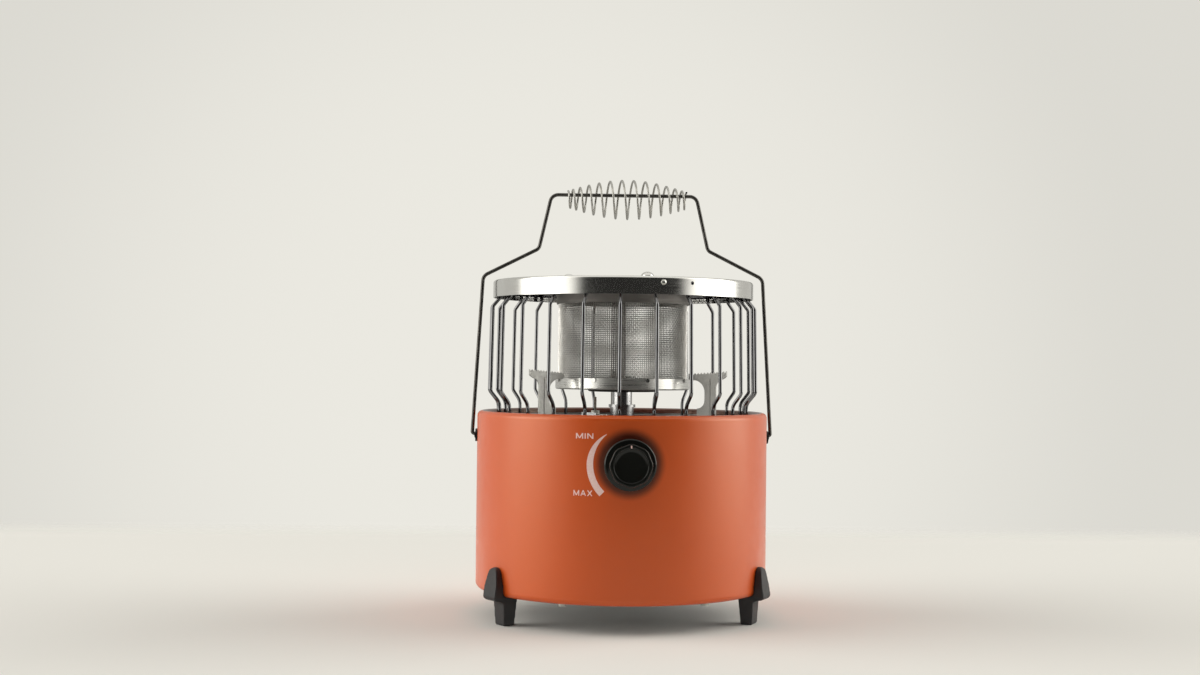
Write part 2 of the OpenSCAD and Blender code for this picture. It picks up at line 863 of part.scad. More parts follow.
module valve_body() {
    color("goldenrod") difference() {
        union() {
            translate([-valve_w/2, valve_y, knob_z - valve_w/2]) cube([valve_w, valve_l, valve_w]);
            translate([0, 0, knob_z]) along_y(nose_d/2, nose_y, valve_y + 1);
            translate([0, 0, outlet_z]) along_y(5, valve_end - 1, valve_end + boss_l);
            translate([0, inlet_up_y, knob_z - valve_w/2 - boss_l]) cylinder(r = 6, h = boss_l + 1);
        }
        translate([0, 0, knob_z]) along_y(plug_d/2 + fit, nose_y - 1, plug_end + fit);
        translate([0, 0, outlet_z]) along_y(1.6, plug_end - 4, valve_end + boss_l + 1, $fn = 32);
        translate([0, inlet_up_y, knob_z - valve_w/2 - boss_l - 1]) cylinder(r = 2, h = valve_w/2 + 4);
    }
}

module valve_nut() {
    color("silver") translate([0, 0, knob_z]) difference() {
        hex_y(17, nose_y, -drum_r - fit);
        along_y(nose_d/2 + 0.02, nose_y - 1, -drum_r + 1);
    }
}

module gas_pipe() {
    start_y = valve_end + boss_l;
    color("peru") tube(route([
        [0, start_y, outlet_z],
        [0, jet_y, outlet_z],
        [0, jet_y, jet_z],
        [0, 0, jet_z],
        [0, 0, tube_z - 14]
    ], 8, 4), jet_pipe_d/2, 12, [1, 0, 0]);
}

module inlet_pipe() {
    side_x = -40;
    side_y = 50;
    color("peru") tube(route([
        [0, inlet_end, inlet_z],
        [0, inlet_end - 18, inlet_z],
        [side_x, side_y, inlet_z],
        [side_x, -side_y, inlet_z],
        [0, inlet_up_y, inlet_z],
        [0, inlet_up_y, knob_z - valve_w/2 - boss_l]
    ], 9, 4), inlet_pipe_d/2, 12, [0.6, 0.25, 0.1]);
}

// Flared spigot outside the wall, hexagon on it and a threaded shank inside
module gas_inlet() {
    color("goldenrod") translate([0, 0, inlet_z]) difference() {
        union() {
            along_y(inlet_shank_d/2, inlet_end, drum_r + 1);
            hex_y(inlet_nut_af, drum_r + fit, drum_r + inlet_hex_l);
            along_y(spigot_d/2, drum_r + inlet_hex_l - 1, drum_r + knob_out);
        }
        along_y(3, inlet_end - 1, drum_r + knob_out + 1);
    }
}

module inlet_nut() {
    corner_r = inlet_nut_af/2/cos(30);
    seat = sqrt(inner_r*inner_r - corner_r*corner_r);
    color("goldenrod") translate([0, 0, inlet_z]) difference() {
        rotate([0, 30, 0]) hex_y(inlet_nut_af, seat - inlet_nut_l, seat);
        along_y(inlet_shank_d/2 + 0.02, seat - inlet_nut_l - 1, seat + 1);
    }
}

// ---------------------------------------------------------------- guard

// Middle line of a guard wire, foot first, as radius and height
function wire_line() = route([
    [wire_foot_r, 0, tray_top + wire_lift],
    [wire_foot_r, 0, rim_z + ankle_rise],
    [belly_r, 0, rim_z + belly_rise],
    [band_r + waist_out, 0, band_z - waist_drop],
    [wire_head_r, 0, band_z],
    [wire_head_r, 0, band_z + wire_tuck]
], [0, ankle_bend, belly_bend, waist_bend, waist_bend, 0], 2);

module guard_wires() {
    color("silver") for (i = [0:wire_n - 1])
        at(wire_turn + 360/wire_n*i) tube(wire_line(), wire_r, 8, [0, 1, 0]);
}

// Ring wire that the wires' feet are welded round
module guard_bottom_ring() {
    ring_r = wire_foot_r - 2*wire_r + weld;
    color("silver") translate([0, 0, tray_top + wire_r + fit])
        rotate_extrude() translate([ring_r, 0]) circle(r = wire_r, $fn = 32);
}

// Hoop that the wires' heads are welded to, inside the cover's skirt
module guard_top_ring() {
    color("silver") difference() {
        translate([0, 0, plate_top - plate_t - hoop_h - hoop_gap]) pipe(hoop_r, hoop_r - hoop_t, hoop_h);
        band_holes(band_screw_turn, band_r - 6, band_screw_d + 2*fit);
    }
}

module band_holes(turn, r_from, d) {
    for (k = [0:2]) at(turn + 120*k) translate([r_from, 0, band_screw_z]) rotate([0, 90, 0])
        cylinder(d = d, h = 8, $fn = 32);
}

module top_band() {
    color("gainsboro") difference() {
        rotate_extrude($fn = 180) polygon(concat(
            [[band_r - band_t, band_z], [band_r, band_z]],
            arc(band_r - band_round, top_z - band_round, band_round, 0, 90, 6),
            [[band_r - band_lip, top_z], [band_r - band_lip, top_z - band_t]],
            arc(band_r - band_round, top_z - band_round, band_round - band_t, 90, 0, 6)
        ));
        band_holes(band_screw_turn, band_r - 4, band_screw_d + 2*fit);
        band_holes(band_hole_turn, band_r - 4, band_screw_d);
    }
}

// Screws through the band, the plate's skirt and the hoop
module band_screws() {
    grip_in = band_t + plate_t + hoop_t + 0.6;
    color("silver") for (k = [0:2]) at(band_screw_turn + 120*k)
        translate([band_r, 0, band_screw_z]) rotate([0, 90, 0]) {
            cylinder(d = band_screw_d + 1.2, h = 1.1, $fn = 48);
            translate([0, 0, -grip_in]) cylinder(d = band_screw_d, h = grip_in + 0.5, $fn = 32);
        }
}

module stud_place() {
    for (k = [0:2]) at(stud_turn + 120*k) translate([stud_ring, 0, 0]) children();
}

// Steel cover with a pressed groove and a skirt inside the band
module top_plate() {
    groove_in = 60;
    groove_out = 74;
    groove = 1.6;
    skirt_r = band_r - band_t;
    skirt_round = band_round - band_t;
    under = plate_top - plate_t;
    color("gainsboro") difference() {
        rotate_extrude() polygon(concat(
            [[0, plate_top], [0, under], [groove_in, under], [groove_in + 2, under - groove]],
            [[groove_out - 2, under - groove], [groove_out, under]],
            arc(skirt_r - skirt_round, plate_top - skirt_round, skirt_round - plate_t, 90, 0, 4),
            [[skirt_r - plate_t, plate_top - skirt_h], [skirt_r, plate_top - skirt_h]],
            arc(skirt_r - skirt_round, plate_top - skirt_round, skirt_round, 0, 90, 4),
            [[groove_out, plate_top], [groove_out - 2, plate_top - groove]],
            [[groove_in + 2, plate_top - groove], [groove_in, plate_top]]
        ));
        stud_place() translate([0, 0, under - 1]) cylinder(d = stud_d + 2*fit, h = plate_t + 2);
        band_holes(band_screw_turn, band_r - 6, band_screw_d + 2*fit);
        band_holes(band_hole_turn, band_r - 6, band_screw_d);
    }
}

// Domed cap nuts with a flange
module top_nuts() {
    dome = nut_d/2 - 2.6;
    color("gainsboro") stud_place() translate([0, 0, plate_top]) difference() {
        rotate_extrude($fn = 64) polygon(concat(
            [[0, 0], [nut_d/2, 0], [nut_d/2, 1.2], [dome + 0.6, 1.8]],
            [for (p = arc(0, 0, 1, 0, 80, 8)) [dome*p[0], 2.6 + (nut_h - 2.6)*p[1]/sin(80)]],
            [[0, nut_h]]
        ));
        translate([0, 0, -1]) cylinder(d = stud_d + 2*fit, h = 5.6);
    }
}

// Bolts from inside the emitter's cap up into the cap nuts
module emitter_studs() {
    head_z = cap_top - plate_t;
    color("silver") stud_place() translate([0, 0, head_z - 3.4]) union() {
        cylinder(d = 8.4, h = 3.4);
        cylinder(d = stud_d, h = plate_top + 4.3 - head_z + 3.4);
    }
}

// Closed cap that holds the gauze's top edge
module emitter_cap() {
    color("#4a4a4c") difference() {
        translate([0, 0, hem_z]) difference() {
            cylinder(r = collar_r0 + plate_t, h = cap_top - hem_z);
            translate([0, 0, -1]) cylinder(r = collar_r0, h = cap_top - hem_z - plate_t + 1);
        }
        stud_place() translate([0, 0, cap_top - 3]) cylinder(d = stud_d + 2*fit, h = 6);
    }
}

// Rolled gauze with its overlapped edge
module emitter_gauze() {
    foot = collar_z + pan_t;
    seam_a = seam_w/gauze_r*180/PI;
    h = cap_top - plate_t - foot - 0.05;
    color("darkgray") translate([0, 0, foot]) union() {
        pipe(gauze_r, gauze_r - gauze_t, h);
        rotate([0, 0, seam_turn - 90 - seam_a/2]) rotate_extrude(angle = seam_a)
            translate([gauze_r - 0.1, 0]) square([0.55, h]);
    }
}

// Bright pan under the gauze with a hole that the burner head stands in
module emitter_collar() {
    out = collar_r0 + collar_t;
    color("gainsboro") difference() {
        rotate_extrude() polygon(concat(
            [[pan_hole_r, collar_z]],
            arc(out - 1, collar_z + 1, 1, -90, 0, 4),
            [[out, collar_z + collar_h], [collar_r0, collar_z + collar_h]],
            [[collar_r0, collar_z + pan_t], [pan_hole_r, collar_z + pan_t]]
        ));
        gauze_rivet_place() cylinder(d = 1.7, h = 6, center = true, $fn = 24);
    }
}

module gauze_rivet_place() {
    for (i = [0:rivet_n - 1]) at(rivet_turn + 360/rivet_n*i)
        translate([collar_r0 + collar_t, 0, rivet_z]) rotate([0, 90, 0]) children();
}

module gauze_rivets() {
    color("gainsboro") gauze_rivet_place() {
        cylinder(d = 3, h = 0.9, $fn = 32);
        translate([0, 0, -collar_t - 0.05]) cylinder(d = 1.6, h = collar_t + 0.5, $fn = 24);
    }
}

// ---------------------------------------------------------------- turning plug and knob

// Round bar along Y with a flat, as a spindle or as the hole for it
module d_bar(r, flat, y0, y1) {
    difference() {
        along_y(r, y0, y1, $fn = 64);
        translate([r - flat, y0 - 1, -r - 1]) cube([flat + 1, y1 - y0 + 2, 2*r + 2]);
    }
}

module valve_plug() {
    color("goldenrod") translate([0, 0, knob_z]) difference() {
        along_y(plug_d/2, plug_y, plug_end);
        d_bar(spindle_d/2 + fit, spindle_flat, plug_y - 1, spindle_end + knob_press + 1);
    }
}

// The return spring at its pressed length, seated on the plug's front
module return_spring() {
    color("silver") translate([0, 0, knob_z]) difference() {
        along_y(plug_d/2 - 0.2, plug_y - spring_h, plug_y);
        along_y(plug_d/2 - 1.1, plug_y - spring_h - 1, plug_y + 1);
    }
}

// D-shaft with a collar that pushes the spring
module valve_spindle() {
    collar_y = plug_y - spring_h - knob_press - 0.2;
    color("silver") translate([0, 0, knob_z]) union() {
        d_bar(spindle_d/2, spindle_flat, spindle_y, spindle_end);
        along_y(plug_d/2 - 0.3, collar_y - 0.8, collar_y);
    }
}

// Section of the knob about its axis: radius and distance out from the drum's wall
module knob_section(outer) {
    skirt = knob_d/2;
    ring = ring_d/2;
    face = face_d/2;
    step = knob_gap + 6.6;
    if (outer)
        polygon(concat(
            [[0, knob_gap], [skirt - 0.5, knob_gap], [skirt, knob_gap + 0.6]],
            arc(skirt - 1.6, step - 1.8, 1.6, 0, 80, 5),
            [[ring - 1, step + 0.4], [0, step + 0.4]]
        ));
    else
        polygon(concat(
            [[0, step - 1], [ring, step - 1]],
            arc(ring - 0.9, knob_out - 0.9, 0.9, 0, 90, 4),
            [[face + 0.3, knob_out], [face, knob_out - 0.4], [face - 0.4, knob_out - 1.5]],
            [[0, knob_out - 1.1]]
        ));
}

module knob_solid() {
    ring_flat = ring_d/2 - 0.45;
    rotate([90, 0, 0]) union() {
        rotate_extrude() knob_section(true);
        intersection() {
            rotate_extrude() knob_section(false);
            rotate([0, 0, 22.5]) cylinder(r = ring_flat/cos(22.5), h = knob_out + 5, $fn = 8);
        }
    }
}

module knob() {
    hub = spindle_d/2 + 2.4;
    hub_gap = knob_press + nut_t + 0.8;
    skirt_in = knob_d/2 - 1.8;
    ring_in_r = ring_d/2 - 2.4;
    ceiling = knob_out - 3.2;
    color("#141416") translate([0, -drum_r, knob_z]) difference() {
        knob_solid();
        difference() {
            union() {
                along_y(ring_in_r, -ceiling, 0);
                along_y(skirt_in, -knob_gap - 4.4, 0);
            }
            along_y(hub, -ceiling - 1, -hub_gap);
        }
        d_bar(spindle_d/2 + 0.02, spindle_flat - 0.02, -knob_out + 3, 1);
        translate([-pointer_w/2, -knob_out - 1, face_d/2 + 0.4])
            cube([pointer_w, 1 + pointer_deep, 5]);
    }
}

module knob_pointer() {
    slack = 0.02;
    long = ring_d/2 - face_d/2 - 1.3;
    color("white") translate([-pointer_w/2 + slack, -drum_r - knob_out, knob_z + face_d/2 + 0.4 + slack])
        cube([pointer_w - 2*slack, pointer_deep - slack, long]);
}

// ---------------------------------------------------------------- bail and grip

// Right half of the bail's middle line, from the root of its pin to the bar
bail_half = [
    [pin_root, 0, pivot_z],
    [arm_x, 0, pivot_z],
    [band_r + shoulder_out, 0, pivot_z + shoulder_h],
    [knee_w/2, 0, pivot_z + knee_h],
    [bar_w/2, 0, bar_z]
];
bail_corners = concat(bail_half, [for (i = [4:-1:0]) [-bail_half[i][0], 0, bail_half[i][2]]]);
bail_bends = [0, pin_bend, shoulder_bend, knee_bend, corner_bend,
    corner_bend, knee_bend, shoulder_bend, pin_bend, 0];

module bail() {
    pin_end = inner_r - pin_in;
    pin_l = pin_root + pin_straight - fit - pin_end;
    color("dimgray") union() {
        tube(route(bail_corners, bail_bends), bail_d/2, 16, [0, 1, 0]);
        for (s = [-1, 1]) translate([s*(pin_end + pin_l/2), 0, pivot_z]) rotate([0, 90, 0])
            cylinder(r = pin_r, h = pin_l, center = true, $fn = 64);
        translate([0, 0, bar_z]) rotate([0, 90, 0])
            cylinder(r = bail_d/2 + bar_skin, h = bar_w - 2*corner_bend, center = true, $fn = 64);
    }
}

// Push-on washers that keep the pins in the ears
module bail_clips() {
    color("dimgray") for (s = [-1, 1])
        translate([s*(inner_r - clip_gap - clip_t/2), 0, pivot_z]) rotate([0, 90, 0]) difference() {
            cylinder(d = clip_d, h = clip_t, center = true);
            cylinder(r = pin_r + 0.02, h = clip_t + 2, center = true, $fn = 64);
        }
}

// The coil's middle line: turns crowd together and shrink towards both ends
grip_span = grip_l - grip_wire;
grip_crowd = 1.5*(grip_span/grip_turns - grip_end_pitch);
function grip_along(u) =
    grip_turns*(grip_end_pitch*u + grip_crowd*(2*u*u - 4*u*u*u/3));
function grip_point(k) =
    let (
        u = k/(grip_turns*grip_rings),
        x = grip_along(u),
        a = 90 + 360*k/grip_rings,
        r = grip_end_r + (grip_mid_r - grip_end_r)*sin(180*x/grip_span)
    )
    [grip_shift - grip_span/2 + x, r*cos(a), grip_z + r*sin(a)];
grip_turned = [for (k = [0:grip_turns*grip_rings]) grip_point(k)];
grip_last = len(grip_turned) - 1;
// Each end runs straight on for one wire diameter
grip_line = concat(
    [grip_turned[0] - grip_wire*tangent(grip_turned, 0)],
    grip_turned,
    [grip_turned[grip_last] + grip_wire*tangent(grip_turned, grip_last)]
);
grip_sides_out = [for (p = grip_line) unit([0, p[1], p[2] - grip_z])];
grip_gap = min([
    for (i = [0:grip_last], j = [i + 4:1:min(grip_last, i + 2*grip_rings)])
        norm(grip_turned[i] - grip_turned[j])
]) - grip_wire;
bar_gap = min([for (p = grip_turned) norm([p[1], p[2] - bar_z])]) - grip_wire/2 - bail_d/2 - bar_skin;
echo(str("Grip coil: least gap to itself ", grip_gap, " mm, to the bar ", bar_gap, " mm"));

module grip_coil() {
    color("silver") tube(grip_line, grip_wire/2, grip_sides, grip_sides_out);
}

// ---------------------------------------------------------------- the assembly

drum_shell();
base_cover();
base_screws();
floor_tray();
foot_1();
foot_2();
foot_3();
foot_screws();
ear_left();
ear_right();
ear_rivets();
pot_support_1();
pot_support_2();
pot_support_3();
support_screws();
mixing_tube();
riser_flange();
burner_neck();
burner_head();
burner_cap();
injector();
igniter_bracket();
igniter_insulator();
igniter_electrode();
piezo_unit();
ignition_lead();
thermocouple();
thermocouple_lead();
valve_bracket();
valve_body();
valve_nut();
gas_pipe();
inlet_pipe();
gas_inlet();
inlet_nut();
guard_wires();
guard_bottom_ring();
guard_top_ring();
top_band();
band_screws();
top_plate();
top_nuts();
emitter_studs();
emitter_cap();
emitter_gauze();
emitter_collar();
gauze_rivets();
valve_plug();
return_spring();
valve_spindle();
knob();
knob_pointer();
bail();
bail_clips();
grip_coil();
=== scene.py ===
# %% [markdown]
# # A portable propane heater
# An orange steel drum on three feet holds the gas parts. A cage of bent wires and a bright band
# guard a gauze emitter, and a wire bail with a coiled grip folds over the top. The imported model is
# loaded first and stays where it is. Every piece below is placed by it, in metres.

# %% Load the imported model
import json
import math
import bpy
from mathutils import Matrix, Quaternion, Vector


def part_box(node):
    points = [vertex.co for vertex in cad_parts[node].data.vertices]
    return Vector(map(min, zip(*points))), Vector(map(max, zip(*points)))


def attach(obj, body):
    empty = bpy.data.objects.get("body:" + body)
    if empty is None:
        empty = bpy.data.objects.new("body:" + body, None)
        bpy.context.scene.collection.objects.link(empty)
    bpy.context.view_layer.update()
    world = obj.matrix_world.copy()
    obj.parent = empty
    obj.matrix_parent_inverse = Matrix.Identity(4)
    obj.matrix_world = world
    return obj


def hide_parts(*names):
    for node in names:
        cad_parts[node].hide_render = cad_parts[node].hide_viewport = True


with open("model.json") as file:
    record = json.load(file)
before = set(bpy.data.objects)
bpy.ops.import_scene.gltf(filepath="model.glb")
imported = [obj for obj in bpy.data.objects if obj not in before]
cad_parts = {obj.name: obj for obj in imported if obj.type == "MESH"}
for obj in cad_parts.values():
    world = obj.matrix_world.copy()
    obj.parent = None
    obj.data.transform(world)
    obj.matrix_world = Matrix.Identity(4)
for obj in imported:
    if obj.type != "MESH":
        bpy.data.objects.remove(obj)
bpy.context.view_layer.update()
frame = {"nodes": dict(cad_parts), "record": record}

MM = 0.001
drum_low, drum_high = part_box("drum_shell")
knob_low, knob_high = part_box("knob")
DRUM_R = drum_high.x
KNOB_Z = (knob_low.z + knob_high.z)/2
print(f"drum: {2*DRUM_R/MM:.1f} mm across, rim at {drum_high.z/MM:.1f} mm, knob at {KNOB_Z/MM:.1f} mm")

# %% [markdown]
# ## Camera
# A product shot is taken from a little over a metre with a slightly long lens, so that round
# things stay round. The distance sets how flat the drum's rims look, and the height sets how much
# of each rim shows. The horizon's row and the drum's column in the photograph give the aim.

# %% Camera
PHOTO_W, PHOTO_H = 1200, 675
FOCAL_PX = 1618
HORIZON_PX = 365
AXIS_PX = 622.7
SENSOR_MM = 36
camera_away = 1180*MM
camera_up = 180.5*MM
camera_turn = math.radians(-3)
camera_roll = math.radians(0.6)

heading = -camera_turn - math.atan((AXIS_PX - PHOTO_W/2)/FOCAL_PX)
pitch = math.atan((HORIZON_PX - PHOTO_H/2)/FOCAL_PX)
aim = Vector((math.sin(heading)*math.cos(pitch), math.cos(heading)*math.cos(pitch), math.sin(pitch)))
bpy.ops.object.camera_add(
    location=(camera_away*math.sin(camera_turn), -camera_away*math.cos(camera_turn), camera_up)
)
camera = bpy.context.object
camera.name = "camera"
camera.data.lens = FOCAL_PX/PHOTO_W*SENSOR_MM
camera.data.sensor_width = SENSOR_MM
camera.rotation_mode = "QUATERNION"
camera.rotation_quaternion = aim.to_track_quat("-Z", "Y") @ Quaternion((0, 0, 1), camera_roll)
bpy.context.scene.camera = camera
bpy.context.scene.view_settings.view_transform = "Standard"
print(f"lens {camera.data.lens:.1f} mm at {camera_away:.2f} m")

# %% [markdown]
# ## Colours and nodes
# A colour picked from a screen is sRGB, and the renderer works in linear light, so one function
# turns a hex value over. One more adds a node, sets it and links it, which keeps each material
# below down to the few lines that say what is special about it.

# %% Two small helpers
def linear(hex_colour):
    """An sRGB hex colour as linear RGBA."""
    channels = [int(hex_colour[i:i + 2], 16)/255 for i in (1, 3, 5)]
    return [c/12.92 if c <= 0.04045 else ((c + 0.055)/1.055)**2.4 for c in channels] + [1]


def add_node(tree, kind, settings=None, links=None):
    """Adds one node, sets its properties and sockets, and links sockets into its inputs."""
    node = tree.nodes.new("ShaderNode" + kind)
    for name, value in (settings or {}).items():
        if isinstance(name, str) and hasattr(node, name):
            setattr(node, name, value)
        else:
            node.inputs[name].default_value = value
    for name, socket in (links or {}).items():
        tree.links.new(socket, node.inputs[name])
    return node


# %% [markdown]
# ## Light
# The photograph looks as if it was taken in a white tent with a softbox at each side and an open
# front. Polished steel shows it best: going round the band, the dark middle mirrors the open
# front, the blown-out stretches mirror the softboxes, and the pale ends mirror the tent's back.
# The world is that tent, set by compass turn in degrees. Paint needs a stronger light than mirrors
# show, so it has its own.

# %% World
TENT = "#ebe9e1"
tent_middle = math.radians(4.5)
overhead = (0.55, 0.8)
backdrop_spot = (0.93, 1.0)
backdrop_dim, backdrop_bright = 0.86, 1.0

world = bpy.data.worlds.new("light_tent")
bpy.context.scene.world = world
world.use_nodes = True
tree = world.node_tree
tree.nodes.clear()
way_out = add_node(tree, "TexCoord").outputs["Generated"]
to_place = add_node(tree, "SeparateXYZ", links={0: way_out}).outputs
front = add_node(tree, "Math", {"operation": "MULTIPLY", 1: -1}, {0: to_place["Y"]})
compass = add_node(tree, "Math", {"operation": "ARCTAN2"}, {0: to_place["X"], 1: front.outputs[0]})
from_middle = add_node(tree, "Math", {"operation": "SUBTRACT", 1: tent_middle}, {0: compass.outputs[0]})
turn = add_node(tree, "Math", {"operation": "ABSOLUTE"}, {0: from_middle.outputs[0]}).outputs[0]


def step(value, start, stop, before, after):
    """A soft step from before to after as value goes from start to stop."""
    node = add_node(tree, "MapRange", {"interpolation_type": "SMOOTHSTEP", "From Min": start,
                                       "From Max": stop, "To Max": after}, {"Value": value})
    if isinstance(before, (int, float)):
        node.inputs["To Min"].default_value = before
    else:
        tree.links.new(before, node.inputs["To Min"])
    return node.outputs[0]


def tent(opening, box, core, back, top, box_from, core_from, box_to):
    """A background as strong as the part of the tent that a ray goes to."""
    level = step(turn, *map(math.radians, box_from), opening, box)
    level = step(turn, *map(math.radians, core_from), level, core)
    level = step(turn, *map(math.radians, box_to), level, back)
    level = step(to_place["Z"], *overhead, level, top)
    return add_node(tree, "Background", {"Color": linear(TENT)}, {"Strength": level}).outputs[0]


ray = add_node(tree, "LightPath").outputs
to_paint = tent(opening=0.03, box=4.2, core=5.2, back=0.7, top=0.7,
                box_from=(55, 80), core_from=(80, 95), box_to=(112, 132))
to_metal = tent(opening=0.035, box=2, core=5, back=0.72, top=1.3,
                box_from=(40, 59), core_from=(60, 72), box_to=(94, 114))
backdrop = step(to_place["Y"], *backdrop_spot, backdrop_dim, backdrop_bright)
to_camera = add_node(tree, "Background", {"Color": linear(TENT)}, {"Strength": backdrop}).outputs[0]
lit = add_node(tree, "MixShader", links={0: ray["Is Glossy Ray"], 1: to_paint, 2: to_metal})
seen = add_node(tree, "MixShader", links={0: ray["Is Camera Ray"], 1: lit.outputs[0], 2: to_camera})
add_node(tree, "OutputWorld", links={"Surface": seen.outputs[0]})
print("light tent ready")

# %% [markdown]
# ## Floor
# The heater stands on pale paper that fades into the backdrop well behind it. A plane with its
# edge faded to clear shows the same soft line and still takes the heater's shadow.

# %% Floor
FLOOR = "#ebeae8"
floor_front, floor_back, floor_side = -0.9, 1.5, 3
fade_start, fade_end = 0.50, 0.66

bpy.ops.mesh.primitive_plane_add(size=2, location=(0, (floor_front + floor_back)/2, 0))
bpy.context.object.scale = (floor_side, (floor_back - floor_front)/2, 1)
bpy.ops.object.transform_apply(location=True, rotation=True, scale=True)
floor = bpy.context.object
floor.name = "floor"
paper = bpy.data.materials.new("matt_paper")
paper.use_nodes = True
tree = paper.node_tree
tree.nodes.clear()
along = add_node(tree, "SeparateXYZ", links={0: add_node(tree, "TexCoord").outputs["Object"]})
faded = add_node(tree, "MapRange", {"interpolation_type": "SMOOTHSTEP", "From Min": fade_start,
                                    "From Max": fade_end}, {"Value": along.outputs["Y"]})
sheet = add_node(tree, "BsdfDiffuse", {"Color": linear(FLOOR)})
clear = add_node(tree, "BsdfTransparent")
shown = add_node(tree, "MixShader", links={0: faded.outputs[0], 1: sheet.outputs[0], 2: clear.outputs[0]})
add_node(tree, "OutputMaterial", links={"Surface": shown.outputs[0]})
floor.data.materials.append(paper)
print("floor ready")

# %% [markdown]
# ## Patterns that every finish shares
# A finish is a colour, a gloss and a fine relief. Noise drives all three. Its blotches are given
# in millimetres, so that orange peel, brushing and grain keep their real size. Rolled and spun
# sheet is brushed round the drum's axis, so its noise is drawn out along that circle.

# %% Pattern helpers
def new_material(name, colour, roughness, metallic=0, **more):
    """A material with one Principled shader. Returns the material, its tree, place and shader."""
    material = bpy.data.materials.new(name)
    material.use_nodes = True
    tree = material.node_tree
    tree.nodes.clear()
    place = add_node(tree, "TexCoord").outputs["Object"]
    shader = add_node(tree, "BsdfPrincipled", {
        "Base Color": linear(colour), "Roughness": roughness, "Metallic": metallic,
        **{key.replace("_", " "): value for key, value in more.items()}})
    add_node(tree, "OutputMaterial", links={"Surface": shader.outputs[0]})
    return material, tree, place, shader


def from_axis(tree, place):
    """How far a point is from the drum's axis, and the point's three parts."""
    part = add_node(tree, "SeparateXYZ", links={0: place}).outputs
    flat = add_node(tree, "CombineXYZ", links={"X": part["X"], "Y": part["Y"]})
    out = add_node(tree, "VectorMath", {"operation": "LENGTH"}, {0: flat.outputs[0]})
    return out.outputs["Value"], part


def blotches(tree, place, size, detail=2):
    """Noise with blotches of size millimetres."""
    fitted = add_node(tree, "Mapping", {"Scale": [1/(size*MM)]*3}, {"Vector": place})
    return add_node(tree, "TexNoise", {"Scale": 1, "Detail": detail},
                    {"Vector": fitted.outputs[0]}).outputs[0]


def streaks(tree, place, width, length):
    """Noise in lines that run round the drum's axis, width apart and about length long, in mm."""
    out, part = from_axis(tree, place)
    side = add_node(tree, "Math", {"operation": "ADD"}, {0: part["X"], 1: part["Y"]}).outputs[0]
    lines = add_node(tree, "CombineXYZ", links={"X": out, "Y": side, "Z": part["Z"]}).outputs[0]
    fitted = add_node(tree, "Mapping", {"Scale": (1/(width*MM), 1/(length*MM), 1/(width*MM))},
                      {"Vector": lines})
    return add_node(tree, "TexNoise", {"Scale": 1, "Detail": 3},
                    {"Vector": fitted.outputs[0]}).outputs[0]


def vary(tree, pattern, low, high, socket):
    """Lets noise, which mostly stays within 0.3 to 0.7, move a socket between low and high."""
    ranged = add_node(tree, "MapRange", {"From Min": 0.3, "From Max": 0.7, "To Min": low,
                                         "To Max": high}, {"Value": pattern})
    tree.links.new(ranged.outputs[0], socket)


def tint(tree, pattern, colour_a, colour_b, shader):
    """Mixes two hex colours by a pattern into the shader's colour."""
    stepped = add_node(tree, "MapRange", {"From Min": 0.35, "From Max": 0.65}, {"Value": pattern})
    mixed = add_node(tree, "Mix", {"data_type": "RGBA", 6: linear(colour_a), 7: linear(colour_b)},
                     {0: stepped.outputs[0]})
    tree.links.new(mixed.outputs[2], shader.inputs["Base Color"])


def relief(tree, pattern, depth, shader):
    """Raises the surface by a pattern, depth millimetres at most."""
    bump = add_node(tree, "Bump", {"Strength": 1, "Distance": depth*MM}, {"Height": pattern})
    tree.links.new(bump.outputs[0], shader.inputs["Normal"])


MATERIALS = {}

# %% [markdown]
# ## Stoved enamel
# The drum is sprayed with a satin enamel and baked. The lacquer dries with orange peel, a faint
# waviness a millimetre or two across, which breaks up the edge of each reflection. A thin clear
# coat gives the pale sheen at the drum's sides. Past the top of the rolled rim the inside is
# painted maroon, a painted shade for the dark inside of the drum. A dark red ring painted on the
# wall round the knob, fading out in a few millimetres, is painted shade of the knob.

# %% Orange enamel
rim_round = 3.4*MM
shade_core, shade_end = 18.5*MM, 25.5*MM
shade_depth = 0.95


def inside_shade_mask(tree, place, wall_r):
    """One inside a circle of wall_r round the drum's axis and zero outside it: the mask of the painted
    shade inside the rim.
    """
    out, _ = from_axis(tree, place)
    return add_node(tree, "Math", {"operation": "LESS_THAN", 1: wall_r}, {0: out}).outputs[0]


def knob_shade_mask(tree, place):
    """Painted shade of the knob: shade_depth on the wall behind the knob, fading to zero a little beyond
    its skirt.
    """
    part = add_node(tree, "SeparateXYZ", links={0: place}).outputs
    up = add_node(tree, "Math", {"operation": "SUBTRACT", 1: KNOB_Z}, {0: part["Z"]})
    face = add_node(tree, "CombineXYZ", links={"X": part["X"], "Y": up.outputs[0]})
    away = add_node(tree, "VectorMath", {"operation": "LENGTH"}, {0: face.outputs[0]})
    near = add_node(tree, "MapRange", {
        "interpolation_type": "SMOOTHSTEP", "From Min": shade_core, "From Max": shade_end,
        "To Min": shade_depth, "To Max": 0}, {"Value": away.outputs["Value"]})
    in_front = add_node(tree, "Math", {"operation": "LESS_THAN", 1: 0}, {0: part["Y"]})
    return add_node(tree, "Math", {"operation": "MULTIPLY"},
                    {0: near.outputs[0], 1: in_front.outputs[0]}).outputs[0]


